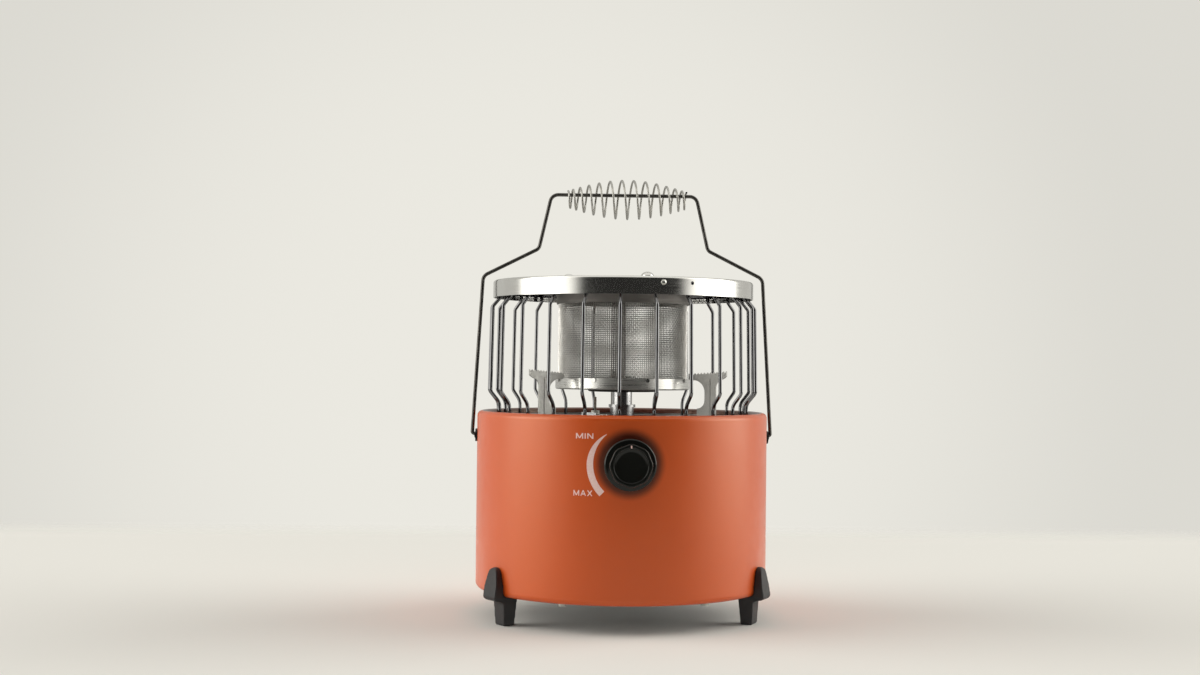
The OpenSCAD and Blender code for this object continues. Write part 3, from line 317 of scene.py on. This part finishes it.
def orange_enamel():
    material, tree, place, shader = new_material(
        "stoved_orange_enamel", "#d04f1c", 0.38, IOR=1.58, Coat_Weight=0.5, Coat_Roughness=0.25,
        Specular_Tint=linear("#ffdfb4"))
    cloudy = add_node(tree, "Mix", {"data_type": "RGBA", 6: linear("#cf5017"), 7: linear("#d5561c")},
                      {0: blotches(tree, place, 45)})
    # Painted shade: maroon inside the rolled rim, standing in for the dark inside of the drum.
    shaded_inside = add_node(tree, "Mix", {"data_type": "RGBA", 7: linear("#561b17")},
                     {0: inside_shade_mask(tree, place, DRUM_R - rim_round), 6: cloudy.outputs[2]})
    # Painted shade: dark red round the knob, standing in for the shade that the knob casts on the wall.
    shaded = add_node(tree, "Mix", {"data_type": "RGBA", 7: linear("#420803")},
                      {0: knob_shade_mask(tree, place), 6: shaded_inside.outputs[2]})
    tree.links.new(shaded.outputs[2], shader.inputs["Base Color"])
    vary(tree, blotches(tree, place, 14), 0.34, 0.44, shader.inputs["Roughness"])
    relief(tree, blotches(tree, place, 1.6, 1), 0.012, shader)
    return material


MATERIALS["orange_enamel"] = orange_enamel()

# %% [markdown]
# ## Sheet steel
# Most of the metal is thin sheet: polished for the band and the cover, brushed for the collar,
# plain stainless for the tray and zinc-plated for what is hidden. They are one finish with other
# numbers: how bright it is, how rough, and how wide and deep the marks of the belt are.

# %% Sheet steels
def sheet_steel(name, colour, dull, roughness, mark_width, mark_depth):
    """Rolled or spun sheet with belt marks, their width and depth in millimetres."""
    material, tree, place, shader = new_material(name, colour, roughness, metallic=1)
    marks = streaks(tree, place, mark_width, 40)
    tint(tree, blotches(tree, place, 25), colour, dull, shader)
    vary(tree, marks, roughness*0.7, roughness*1.3, shader.inputs["Roughness"])
    relief(tree, marks, mark_depth, shader)
    return material


for slot, finish in {
    "polished_band": ("polished_stainless", "#dcdcda", "#d3d2d0", 0.16, 0.5, 0.002),
    "brushed_collar": ("buffed_stainless", "#d6d6d4", "#cac9c7", 0.3, 0.5, 0.0006),
    "stainless_tray": ("cold_rolled_stainless", "#949290", "#858381", 0.34, 0.6, 0.003),
    "plated_sheet": ("zinc_plated_sheet", "#b7b9bb", "#a9acaf", 0.42, 0.8, 0.003),
    "support_steel": ("tumbled_stainless", "#bcbbb9", "#aaa9a6", 0.5, 0.7, 0.004),
    "scorched_steel": ("heat_tinted_steel", "#8c8986", "#757270", 0.5, 0.9, 0.003),
}.items():
    MATERIALS[slot] = sheet_steel(*finish)

# %% [markdown]
# ## Wire, bar and turned metal
# Drawn wire and turned parts are round, so their marks are too fine and too mixed to read as
# lines. What shows is a slight unevenness in gloss, and for brass and copper a warm tarnish.

# %% Bright and dull metals
def drawn_metal(name, colour, dull, roughness, grain, depth):
    """Wire, tube or a turned part with a fine grain, its size and depth in millimetres."""
    material, tree, place, shader = new_material(name, colour, roughness, metallic=1)
    tint(tree, blotches(tree, place, 9), colour, dull, shader)
    vary(tree, blotches(tree, place, 4), roughness*0.75, roughness*1.25, shader.inputs["Roughness"])
    relief(tree, blotches(tree, place, grain), depth, shader)
    return material


for slot, finish in {
    "chromed_wire": ("chromed_steel_wire", "#777779", "#6d6d70", 0.05, 0.5, 0.001),
    "riser_steel": ("chromed_steel_tube", "#a9a9ab", "#9c9c9e", 0.20, 0.6, 0.001),
    "spring_wire": ("bright_spring_wire", "#a8a7a4", "#96948f", 0.26, 0.4, 0.004),
    "bail_wire": ("nickel_blackened_wire", "#5d5b58", "#4d4b49", 0.30, 0.4, 0.004),
    "zinc_screws": ("zinc_plated_steel", "#bdbdb9", "#aaaaa4", 0.34, 0.5, 0.004),
    "stud_steel": ("plain_bright_steel", "#a9a9a7", "#979693", 0.36, 0.5, 0.004),
    "electrode_steel": ("heat_resisting_wire", "#8d8880", "#7a736b", 0.42, 0.5, 0.004),
    "steel_gauze": ("heat_tinted_gauze_wire", "#cbcac8", "#bdbbb8", 0.42, 0.4, 0.002),
    "brass": ("turned_brass", "#c7a35a", "#b08c49", 0.28, 0.5, 0.004),
    "copper": ("drawn_copper", "#b8754f", "#96593b", 0.30, 0.5, 0.004),
}.items():
    MATERIALS[slot] = drawn_metal(*finish)

# %% [markdown]
# ## Cast iron and blackened steel
# The burner is a small casting that has been hot: dark grey, with a sandy skin that scatters light
# in every direction. The ear plates and their rivets are blackened, so they keep a dull gloss.

# %% Dark metals
def burner_iron():
    material, tree, place, shader = new_material(
        "heat_darkened_cast_iron", "#3b3937", 0.62, metallic=0.7)
    tint(tree, blotches(tree, place, 6, 4), "#45423e", "#302e2e", shader)
    vary(tree, blotches(tree, place, 2), 0.52, 0.72, shader.inputs["Roughness"])
    relief(tree, blotches(tree, place, 0.7, 4), 0.06, shader)
    return material


def black_steel():
    material, tree, place, shader = new_material("blackened_steel", "#232122", 0.38, metallic=0.6)
    tint(tree, blotches(tree, place, 5), "#262425", "#1b1a1b", shader)
    relief(tree, blotches(tree, place, 0.6), 0.008, shader)
    return material


MATERIALS["burner_iron"] = burner_iron()
MATERIALS["black_steel"] = black_steel()

# %% [markdown]
# ## Moulded plastics
# The feet come from an eroded mould, which leaves a fine even grain and a soft grey sheen. The
# knob's mould is polished, so it keeps sharp highlights. The igniter's body lies in between.

# %% Plastics
def moulded(name, colour, roughness, grain, depth, index=1.49):
    """Moulded plastic with the grain of its mould, its size and depth in millimetres."""
    material, tree, place, shader = new_material(name, colour, roughness, IOR=index)
    vary(tree, blotches(tree, place, 5), roughness*0.9, roughness*1.1, shader.inputs["Roughness"])
    relief(tree, blotches(tree, place, grain), depth, shader)
    return material


MATERIALS["foot_plastic"] = moulded("eroded_black_polyamide", "#262528", 0.48, 0.5, 0.02)
MATERIALS["knob_plastic"] = moulded("glossy_black_phenolic", "#171816", 0.12, 2.5, 0.002, 1.36)
MATERIALS["piezo_plastic"] = moulded("black_polyamide", "#1b1d1f", 0.40, 0.5, 0.01)
MATERIALS["lead_silicone"] = moulded("red_silicone_sleeve", "#7a2420", 0.55, 0.8, 0.01)

# %% [markdown]
# ## Porcelain and print
# The spark wire is held in glazed porcelain, hard and clean with a bright glaze. The scale beside
# the knob is screen printed in white, thin enough for some of the orange to come through.

# %% Porcelain and print
def porcelain():
    material, tree, place, shader = new_material(
        "glazed_porcelain", "#ece9df", 0.16, IOR=1.52, Coat_Weight=0.6, Coat_Roughness=0.05)
    tint(tree, blotches(tree, place, 3), "#efece3", "#e4e0d4", shader)
    relief(tree, blotches(tree, place, 2), 0.01, shader)
    return material


def white_print():
    material, tree, place, shader = new_material("screen_printed_white", "#fbd9d4", 0.5, IOR=1.5)
    tint(tree, blotches(tree, place, 0.8, 3), "#fddfda", "#f7d0ca", shader)
    relief(tree, blotches(tree, place, 0.5), 0.004, shader)
    return material


MATERIALS["porcelain"] = porcelain()
MATERIALS["white_print"] = white_print()

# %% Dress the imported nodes
for part in frame["record"]["subparts"]:
    for place in frame["nodes"][part["node"]].material_slots:
        place.material = MATERIALS[part["material_slot"]]
print(f"{len(MATERIALS)} finishes on {len(frame['nodes'])} nodes")

# %% [markdown]
# ## Bending wire
# Guard, bail, pipes and leads are all round wire or tube with bends. Each starts as a disc that
# faces along the first straight. It is extruded up to a bend, spun round the bend's centre, and
# extruded on, just as a wire is bent on a jig. So the corners keep a true radius and section.

# %% Wire bender
def select_only(*pieces):
    """Selects these pieces alone, because an operator acts on all that is selected."""
    if bpy.context.object and bpy.context.object.mode != "OBJECT":
        bpy.ops.object.mode_set(mode="OBJECT")
    bpy.ops.object.select_all(action="DESELECT")
    for piece in pieces:
        piece.select_set(True)
    if pieces:
        bpy.context.view_layer.objects.active = pieces[0]


def edit_all():
    """Opens the active piece for editing with all of it selected."""
    bpy.ops.object.mode_set(mode="EDIT")
    bpy.ops.mesh.select_all(action="SELECT")


def close_edit(sharp):
    """Turns all faces outwards, ends the editing and shades smooth up to an angle in degrees."""
    bpy.ops.mesh.select_all(action="SELECT")
    bpy.ops.mesh.normals_make_consistent(inside=False)
    bpy.ops.object.mode_set(mode="OBJECT")
    bpy.ops.object.shade_smooth_by_angle(angle=math.radians(sharp))


def bend_wire(name, wire_r, corners, bend_radii, sides=16, steps=6):
    """A round wire through the corners, each inner one rounded to its own radius. All in metres."""
    select_only()
    points = [Vector(c) for c in corners]
    ways = [(b - a).normalized() for a, b in zip(points, points[1:])]
    bpy.ops.mesh.primitive_circle_add(
        vertices=sides, radius=wire_r, fill_type="NGON",
        location=points[0], rotation=ways[0].to_track_quat("Z", "Y").to_euler())
    wire = bpy.context.object
    wire.name = name
    bpy.ops.object.transform_apply(location=True, rotation=True, scale=True)
    edit_all()
    end = points[0]
    for corner, way, after, bend_r in zip(points[1:-1], ways, ways[1:], bend_radii):
        angle = way.angle(after)
        axis = way.cross(after).normalized()
        back = bend_r*math.tan(angle/2)
        begin = corner - way*back
        bpy.ops.mesh.extrude_region_move(TRANSFORM_OT_translate={"value": begin - end})
        centre = begin + axis.cross(way)*bend_r
        bpy.ops.mesh.spin(steps=steps, angle=-angle, center=centre, axis=axis)
        end = corner + after*back
    bpy.ops.mesh.extrude_region_move(TRANSFORM_OT_translate={"value": points[-1] - end})
    close_edit(sharp=40)
    return wire


def turned_copy(source, name, angle):
    """A copy with its own mesh, turned about the drum's axis."""
    mesh = source.data.copy()
    mesh.transform(Matrix.Rotation(angle, 4, "Z"))
    copy = bpy.data.objects.new(name, mesh)
    bpy.context.scene.collection.objects.link(copy)
    return copy


def join(pieces, name):
    """Joins several pieces into the first one."""
    select_only(*pieces)
    bpy.ops.object.join()
    pieces[0].name = name
    return pieces[0]


def hand_over(piece, body, slot, *nodes):
    """Gives a finished piece its finish and body, and hides the nodes that it stands for."""
    piece.data.materials.clear()
    piece.data.materials.append(MATERIALS[slot])
    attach(piece, body)
    if nodes:
        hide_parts(*nodes)
    print(f"{piece.name}: {len(piece.data.vertices)} vertices on {body}")


# %% [markdown]
# ## Guard
# Twenty-four chromed wires stand in a ring. Each rises from the floor tray, kinks outwards over
# the rim, runs almost straight up and tucks in under the band. One is bent and then copied round.

# %% Guard wires
wire_r = 1.25*MM
wire_n = 24
wire_turn = -4.1
wire_line = [
    (90.3, 140.0), (90.3, 152.8), (96.9, 161.0), (95.8, 222.0), (90.25, 228.6), (90.25, 236.8)]
wire_bends = [9, 4.5, 3, 3]

corners = [(out*MM, 0, up*MM) for out, up in wire_line]
first = bend_wire("guard_wire", wire_r, corners, [r*MM for r in wire_bends], sides=14, steps=6)
turns = [math.radians(wire_turn - 90 + 360/wire_n*i) for i in range(wire_n)]
copies = [turned_copy(first, f"wire_{i}", turn) for i, turn in enumerate(turns)]
bpy.data.objects.remove(first)
guard = join(copies, "guard_bent_wires")
hand_over(guard, "base", "chromed_wire", "guard_wires")

# %% [markdown]
# ## Bail
# The carrying bail is one blackened wire. It leaves the pivots, rises outside the guard, steps in
# over the band in two bends and ends in a straight bar. Its ends turn in to make the pivot pins.

# %% Bail
pivot_z = 130*MM
bail_r = 1.3*MM
pin_r = 1.25*MM
pin_tip, pin_root, pin_end = 100.5*MM, 106.9*MM, 107.1*MM
bail_half = [(108.65, 130.0), (102.0, 244.5), (61.7, 264.8), (52.8, 304.3)]
bail_bends = [1.55, 6, 5, 6]

right = [(x*MM, 0, z*MM) for x, z in bail_half]
left = [(-x, y, z) for x, y, z in reversed(right)]
corners = [(pin_root, 0, pivot_z)] + right + left + [(-pin_root, 0, pivot_z)]
radii = [r*MM for r in bail_bends + bail_bends[::-1]]
bail = bend_wire("bail_wire", bail_r, corners, radii, sides=20, steps=8)
pins = [
    bend_wire("pin", pin_r, [(s*pin_tip, 0, pivot_z), (s*pin_end, 0, pivot_z)], [], sides=20)
    for s in (1, -1)
]
bail = join([bail] + pins, "bail_bent_wire")
hand_over(bail, "bail", "bail_wire", "bail")

# %% [markdown]
# ## Grip coil
# A bright wire is wound over the bar in thirteen turns, tight at the ends and wide in the middle,
# so that a hand can hold it when the bail is warm. Its middle line is a formula: the turns
# advance slowly at both ends, and their radius swells along half a sine wave.

# %% Grip coil
coil_turns = 13
coil_span = 86.5*MM
coil_wire_r = 0.75*MM
coil_end_r, coil_mid_r = 5.9*MM, 14.05*MM
coil_end_pitch = 2.6*MM
coil_middle = (2.4*MM, 0, 301.2*MM)
points_a_turn = 28
crowding = 1.5*(coil_span/coil_turns - coil_end_pitch)


def coil_point(u):
    """The coil's middle line at u, from 0 at the left end to 1 at the right."""
    x = coil_turns*(coil_end_pitch*u + crowding*(2*u*u - 4*u**3/3))
    r = coil_end_r + (coil_mid_r - coil_end_r)*math.sin(math.pi*x/coil_span)
    a = math.radians(90 + 360*coil_turns*u)
    return Vector(coil_middle) + Vector((x - coil_span/2, r*math.cos(a), r*math.sin(a)))


line = bpy.data.curves.new("coil_line", "CURVE")
line.dimensions = "3D"
line.bevel_depth = coil_wire_r
line.bevel_resolution = 3
line.use_fill_caps = True
spline = line.splines.new("POLY")
count = coil_turns*points_a_turn
spline.points.add(count)
for i, point in enumerate(spline.points):
    point.co = (*coil_point(i/count), 1)
coil = bpy.data.objects.new("grip_wound_coil", line)
bpy.context.scene.collection.objects.link(coil)
select_only(coil)
bpy.ops.object.convert(target="MESH")
bpy.ops.object.shade_smooth_by_angle(angle=math.radians(50))
hand_over(coil, "grip", "spring_wire", "grip_coil")

# %% [markdown]
# ## Gas pipes and leads
# Inside the drum a copper pipe brings the gas to the valve and another takes it to the jet. The
# spark lead and the thermocouple's thin capillary run up to the burner. They follow the routes of
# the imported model, with rounder sections and bends.

# %% Pipes and leads
def run_pipe(node, name, slot, pipe_r, bend_r, corners):
    """One pipe or lead along its corners, in millimetres, in the place of its node."""
    pipe = bend_wire(name, pipe_r*MM, [[c*MM for c in corner] for corner in corners],
                     [bend_r*MM]*(len(corners) - 2), sides=18, steps=7)
    hand_over(pipe, "base", slot, node)


run_pipe("gas_pipe", "jet_pipe", "copper", 3, 8, [
    (0, -57.2, 106.8), (0, -36, 106.8), (0, -36, 34), (0, 0, 34), (0, 0, 44)])
run_pipe("inlet_pipe", "supply_pipe", "copper", 4, 9, [
    (0, 92, 60), (0, 74, 60), (-40, 50, 60), (-40, -50, 60), (0, -85.2, 60), (0, -85.2, 95.8)])
run_pipe("ignition_lead", "spark_lead", "lead_silicone", 1.5, 6, [
    (-21, -69.2, 114.8), (-21, -57.2, 114.8), (-19.99, -18, 108.8), (-19.99, -18, 130.4)])
run_pipe("thermocouple_lead", "flame_sensor_lead", "copper", 0.9, 4, [
    (1.41, 26.86, 124.8), (1.41, 26.86, 116.8), (20, 0, 116.8), (20, -44, 116.8),
    (9, -55.2, 119.8), (9, -63.2, 119.8)])
print("pipes laid")

# %% [markdown]
# ## Spun and softened shapes
# A knob, a screw head or a thread is a profile spun round an axis, which the Screw modifier does.
# A moulded foot has no sharp edge at all: a voxel remesh and a few passes of smoothing round the
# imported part's edges by about a millimetre, as a worn mould does.

# %% Lathe and modifiers
same_point = 1e-6


def apply(piece, kind, **settings):
    """Adds one modifier to a piece, sets it and applies it."""
    select_only(piece)
    modifier = piece.modifiers.new(kind.lower(), kind)
    for name, value in settings.items():
        setattr(modifier, name, value)
    bpy.ops.object.modifier_apply(modifier=modifier.name)
    return piece


def new_piece(name, corners, edges=(), faces=()):
    """A mesh object from points in millimetres."""
    mesh = bpy.data.meshes.new(name)
    mesh.from_pydata([[c*MM for c in corner] for corner in corners], edges, faces)
    piece = bpy.data.objects.new(name, mesh)
    bpy.context.scene.collection.objects.link(piece)
    return piece


def arc(x, y, r, start, stop, steps):
    """Points on an arc of radius r round x, y, with its ends in degrees."""
    turns = [math.radians(start + (stop - start)*i/steps) for i in range(steps + 1)]
    return [(x + r*math.cos(t), y + r*math.sin(t)) for t in turns]


def lathe(name, profile, sides):
    """Spins a profile of radius and height in millimetres round the Z axis."""
    links = [(i, i + 1) for i in range(len(profile) - 1)]
    piece = new_piece(name, [(r, 0, z) for r, z in profile], links)
    apply(piece, "SCREW", steps=sides, render_steps=sides, use_merge_vertices=True,
          merge_threshold=same_point, use_normal_calculate=True)
    edit_all()
    close_edit(sharp=35)
    return piece


# %% [markdown]
# ## Woven gauze
# The emitter is a sleeve of fine woven wire that one can see through. Each upright thread passes
# in front of one row and behind the next, and its neighbour does the opposite. One pair of threads
# is copied round, and one pair of rows is copied up. Where the sleeve's ends overlap, two more
# layers darken a strip. Each of them is given by its turn in threads and its radius.

# %% Gauze
gauze_low, gauze_high = 163.8, 238.5
gauze_r = 46.62
thread_r = 0.25
over_under = 0.2
threads = 196
rows = 50
thread_turn = 2*math.pi/threads
row_gap = (gauze_high - gauze_low)/rows
seam_layers = ((0.5, 47.25), (0.25, 47.1))
seam_from, seam_to = math.radians(-12.9), math.radians(0.1)


def gauze_thread(phase):
    """One upright thread at thread number phase."""
    levels = [gauze_low + row_gap*i for i in range(rows + 1)]
    ends = [(0, gauze_low)] + [(thread_r, z) for z in levels] + [(0, gauze_high)]
    thread = lathe("thread", ends, 4)
    for vertex in thread.data.vertices:
        level = round((vertex.co.z/MM - gauze_low)/row_gap)
        vertex.co.x += (gauze_r + over_under*(-1)**(level + phase))*MM
    thread.data.transform(Matrix.Rotation(thread_turn*phase, 4, "Z"))
    return thread


def gauze_row(phase):
    """One row, level number phase."""
    select_only()
    bpy.ops.mesh.primitive_torus_add(major_segments=threads, minor_segments=4, location=(0, 0, 0),
                                     major_radius=gauze_r*MM, minor_radius=thread_r*MM)
    row = bpy.context.object
    for vertex in row.data.vertices:
        thread = round(math.atan2(vertex.co.y, vertex.co.x)/thread_turn)
        shift = 1 - over_under/gauze_r*(-1)**(thread + phase)
        vertex.co.x *= shift
        vertex.co.y *= shift
    row.data.transform(Matrix.Translation((0, 0, (gauze_low + row_gap*phase)*MM)))
    return apply(row, "ARRAY", count=rows//2, use_relative_offset=False,
                 use_constant_offset=True, constant_offset_displace=(0, 0, 2*row_gap*MM))


pair = join([gauze_thread(0), gauze_thread(1)], "threads")
edit_all()
more_pairs = threads//2 - 1
bpy.ops.mesh.spin(steps=more_pairs, dupli=True, angle=2*thread_turn*more_pairs,
                  center=(0, 0, 0), axis=(0, 0, 1))
bpy.ops.object.mode_set(mode="OBJECT")
gauze = join([pair, gauze_row(0), gauze_row(1)], "gauze_sleeve")

layers = []
for part_turn, layer_r in seam_layers:
    layer = turned_copy(gauze, "layer", thread_turn*part_turn)
    layer.data.transform(Matrix.Diagonal((layer_r/gauze_r, layer_r/gauze_r, 1, 1)))
    select_only(layer)
    for edge, far_side in ((seam_from, False), (seam_to, True)):
        edit_all()
        bpy.ops.mesh.bisect(plane_co=(0, 0, 0), plane_no=(math.cos(edge), math.sin(edge), 0),
                            use_fill=True, clear_inner=not far_side, clear_outer=far_side)
    bpy.ops.object.mode_set(mode="OBJECT")
    layers.append(layer)
seam = join(layers, "gauze_seam")
hand_over(gauze, "base", "steel_gauze", "emitter_gauze")
hand_over(seam, "base", "scorched_steel")

# %% [markdown]
# ## Knob
# A stepped moulding: a round skirt and a ring with eight flats to grip, its face dished. The
# flats are pressed in by moving the ring's outer points, so their edges run out softly. From
# behind it is a hollow cup with a hub in the middle, so that it clears the valve's nut when it is
# pushed in.

# %% Knob
ring_r = 14.3
flat_r = 13.8
pressed_from = 12
tick_w, tick_t, tick_h = 0.85*MM, 0.3*MM, 1.8*MM
tick_out, tick_up = 19.9*MM, 12.45*MM

cup = [(0, 6), (5.4, 6), (5.4, 16.8), (11.9, 16.8), (11.9, 8.4), (15.7, 8.4), (15.7, 4)]
skirt_side = [(16.9, 4)] + arc(16.9, 4.6, 0.6, -90, 0, 4) + arc(15.9, 8.8, 1.6, 0, 90, 10)
skirt = lathe("skirt", cup + skirt_side + [(13.2, 10.6), (12.5, 11)], 96)
ring_side = [(12.5, 9.8), (ring_r, 9.8), (ring_r, 12)] + arc(13.3, 19, 1, 0, 90, 10)
dished_face = arc(11.75, 19.65, 0.35, 90, 180, 4) + [(11.2, 19.1), (10.9, 18.9), (9, 18.8), (0, 18.7)]
ring = lathe("ring", ring_side + dished_face, 192)
for vertex in ring.data.vertices:
    away = math.hypot(vertex.co.x, vertex.co.y)
    if away > pressed_from*MM:
        turn = math.atan2(vertex.co.y, vertex.co.x) % (math.pi/4) - math.pi/8
        pressed = max(0, ring_r - flat_r/math.cos(turn))*MM
        vertex.co.x *= 1 - pressed/away
        vertex.co.y *= 1 - pressed/away
knob = join([skirt, ring], "knob_moulded")
knob.data.transform(Matrix.Translation((0, -DRUM_R, KNOB_Z)) @ Matrix.Rotation(math.pi/2, 4, "X"))
hand_over(knob, "knob", "knob_plastic", "knob")

select_only()
bpy.ops.mesh.primitive_cube_add(size=1)
tick = bpy.context.object
tick.data.transform(Matrix.Translation((0, -DRUM_R - tick_out, KNOB_Z + tick_up))
                    @ Matrix.Diagonal((tick_w, tick_t, tick_h, 1)))
apply(tick, "BEVEL", width=0.1*MM, segments=3)
tick.name = "knob_tick"
hand_over(tick, "knob", "white_print", "knob_pointer")

# %% [markdown]
# ## Printed scale
# The scale is drawn flat in millimetres round the knob's centre, then laid on the drum: across
# becomes an angle round the drum, and depth becomes height off its wall. The words are drawn in
# plain strokes. The arc swells from a thin tip at the low end to a blunt end at the high one.

# %% Scale print
print_t = 0.05
print_lift = 0.03
stroke_w = 0.19
letter_gap = 0.42
word_h = 4.1
arc_across = 1.2
arc_start, arc_sweep = 130.3, 95.2
arc_in_r, arc_tip_r, arc_swell = 25.6, 26, 4.1
swell_end = 0.6
arc_steps = 36
STROKES = {
    "M": (1.0, [(0, 0, 0, 1), (0, 1, 0.5, 0.1), (0.5, 0.1, 1, 1), (1, 1, 1, 0)]),
    "A": (0.95, [(0, 0, 0.5, 1), (0.5, 1, 1, 0), (0.22, 0.32, 0.78, 0.32)]),
    "X": (0.85, [(0, 0, 1, 1), (0, 1, 1, 0)]),
    "I": (0.0, [(0, 0, 0, 1)]),
    "N": (0.8, [(0, 0, 0, 1), (0, 1, 1, 0), (1, 0, 1, 1)]),
}


def lay_on_drum(piece, along, up):
    """Wraps a flat piece round the drum, along and up from the knob's centre, in millimetres."""
    for vertex in piece.data.vertices:
        x, y, z = vertex.co
        turn, out = (along + x)*MM/DRUM_R, DRUM_R + (print_lift + z)*MM
        vertex.co = (out*math.sin(turn), -out*math.cos(turn), KNOB_Z + (up + y)*MM)
    return piece


def flat_strip(name, points, faces):
    """A flat piece from points and faces, given the print's thickness, one unit a millimetre."""
    piece = new_piece(name, [(x/MM, y/MM, 0) for x, y in points], (), faces)
    return apply(piece, "SOLIDIFY", thickness=print_t, offset=0)


def printed_word(letters, wide, high, along, up):
    """Letters as straight strokes, fitted into a box wide and high, in millimetres."""
    points, faces, cursor = [], [], 0
    for letter in letters:
        letter_w, strokes = STROKES[letter]
        for x0, y0, x1, y1 in strokes:
            ends = [Vector((cursor + x*letter_w, y)) for x, y in ((x0, y0), (x1, y1))]
            side = (ends[1] - ends[0]).orthogonal().normalized()*stroke_w/2
            points += [end + way*side for end in ends for way in (-1, 1)]
            faces.append([len(points) - k for k in (4, 3, 1, 2)])
        cursor += letter_w + letter_gap
    low = [min(p[k] for p in points) for k in (0, 1)]
    top = [max(p[k] for p in points) for k in (0, 1)]
    box = (wide, high)
    fitted = [[((p[k] - low[k])/(top[k] - low[k]) - 0.5)*box[k] for k in (0, 1)] for p in points]
    return lay_on_drum(flat_strip(letters, fitted, faces), along, up)


outline = []
for i in range(arc_steps + 1):
    t = i/arc_steps
    turn = math.radians(arc_start + arc_sweep*t)
    for r in (arc_in_r, arc_tip_r + arc_swell*math.sin(math.pi/2*min(1, t/swell_end))):
        outline.append((r*math.cos(turn), r*math.sin(turn)))
pieces_of_arc = [(2*i, 2*i + 1, 2*i + 3, 2*i + 2) for i in range(arc_steps)]
scale = join([
    lay_on_drum(flat_strip("arc", outline, pieces_of_arc), arc_across, 0),
    printed_word("MIN", 12, word_h, -30.4, 18.4),
    printed_word("MAX", 13, word_h, -31.3, -19.6),
], "printed_scale")
hand_over(scale, "base", "white_print")

# %% [markdown]
# ## Feet and screws
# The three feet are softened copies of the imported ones. The band's screws get domed heads with a
# six-sided socket, cut by a boolean.

# %% Feet and band screws
foot_voxel = 0.55*MM
screw_z, band_out = 236.7*MM, 94.5*MM
screw_turn, screw_n = 13.8, 3
socket_r, socket_depth, socket_at = 0.75*MM, 1.6*MM, 1.15*MM

for foot in ("foot_1", "foot_2", "foot_3"):
    packed = frame["nodes"][foot]
    piece = bpy.data.objects.new(foot + "_moulded", packed.data.copy())
    piece.data.transform(packed.matrix_world)
    bpy.context.scene.collection.objects.link(piece)
    apply(piece, "WELD", merge_threshold=same_point)
    apply(piece, "REMESH", mode="VOXEL", voxel_size=foot_voxel)
    apply(piece, "SMOOTH", factor=0.5, iterations=10)
    bpy.ops.object.shade_smooth()
    hand_over(piece, "base", "foot_plastic", foot)

screw_side = [(0, -4.2), (1.3, -4.2), (1.3, 0), (1.85, 0), (1.9, 0.25)]
screws = []
for k in range(screw_n):
    head = lathe("head", screw_side + arc(0, -1.45, 2.55, 42, 90, 8), 48)
    select_only()
    bpy.ops.mesh.primitive_cylinder_add(vertices=6, radius=socket_r, depth=socket_depth,
                                        location=(0, 0, socket_at))
    socket = bpy.context.object
    apply(head, "BOOLEAN", operation="DIFFERENCE", object=socket, solver="EXACT")
    bpy.data.objects.remove(socket)
    bpy.ops.object.shade_smooth_by_angle(angle=math.radians(35))
    placed = Matrix.Translation((band_out, 0, screw_z)) @ Matrix.Rotation(math.pi/2, 4, "Y")
    turned = Matrix.Rotation(math.radians(screw_turn - 90 + 360/screw_n*k), 4, "Z")
    head.data.transform(turned @ placed)
    screws.append(head)
hand_over(join(screws, "band_socket_screws"), "base", "zinc_screws", "band_screws")
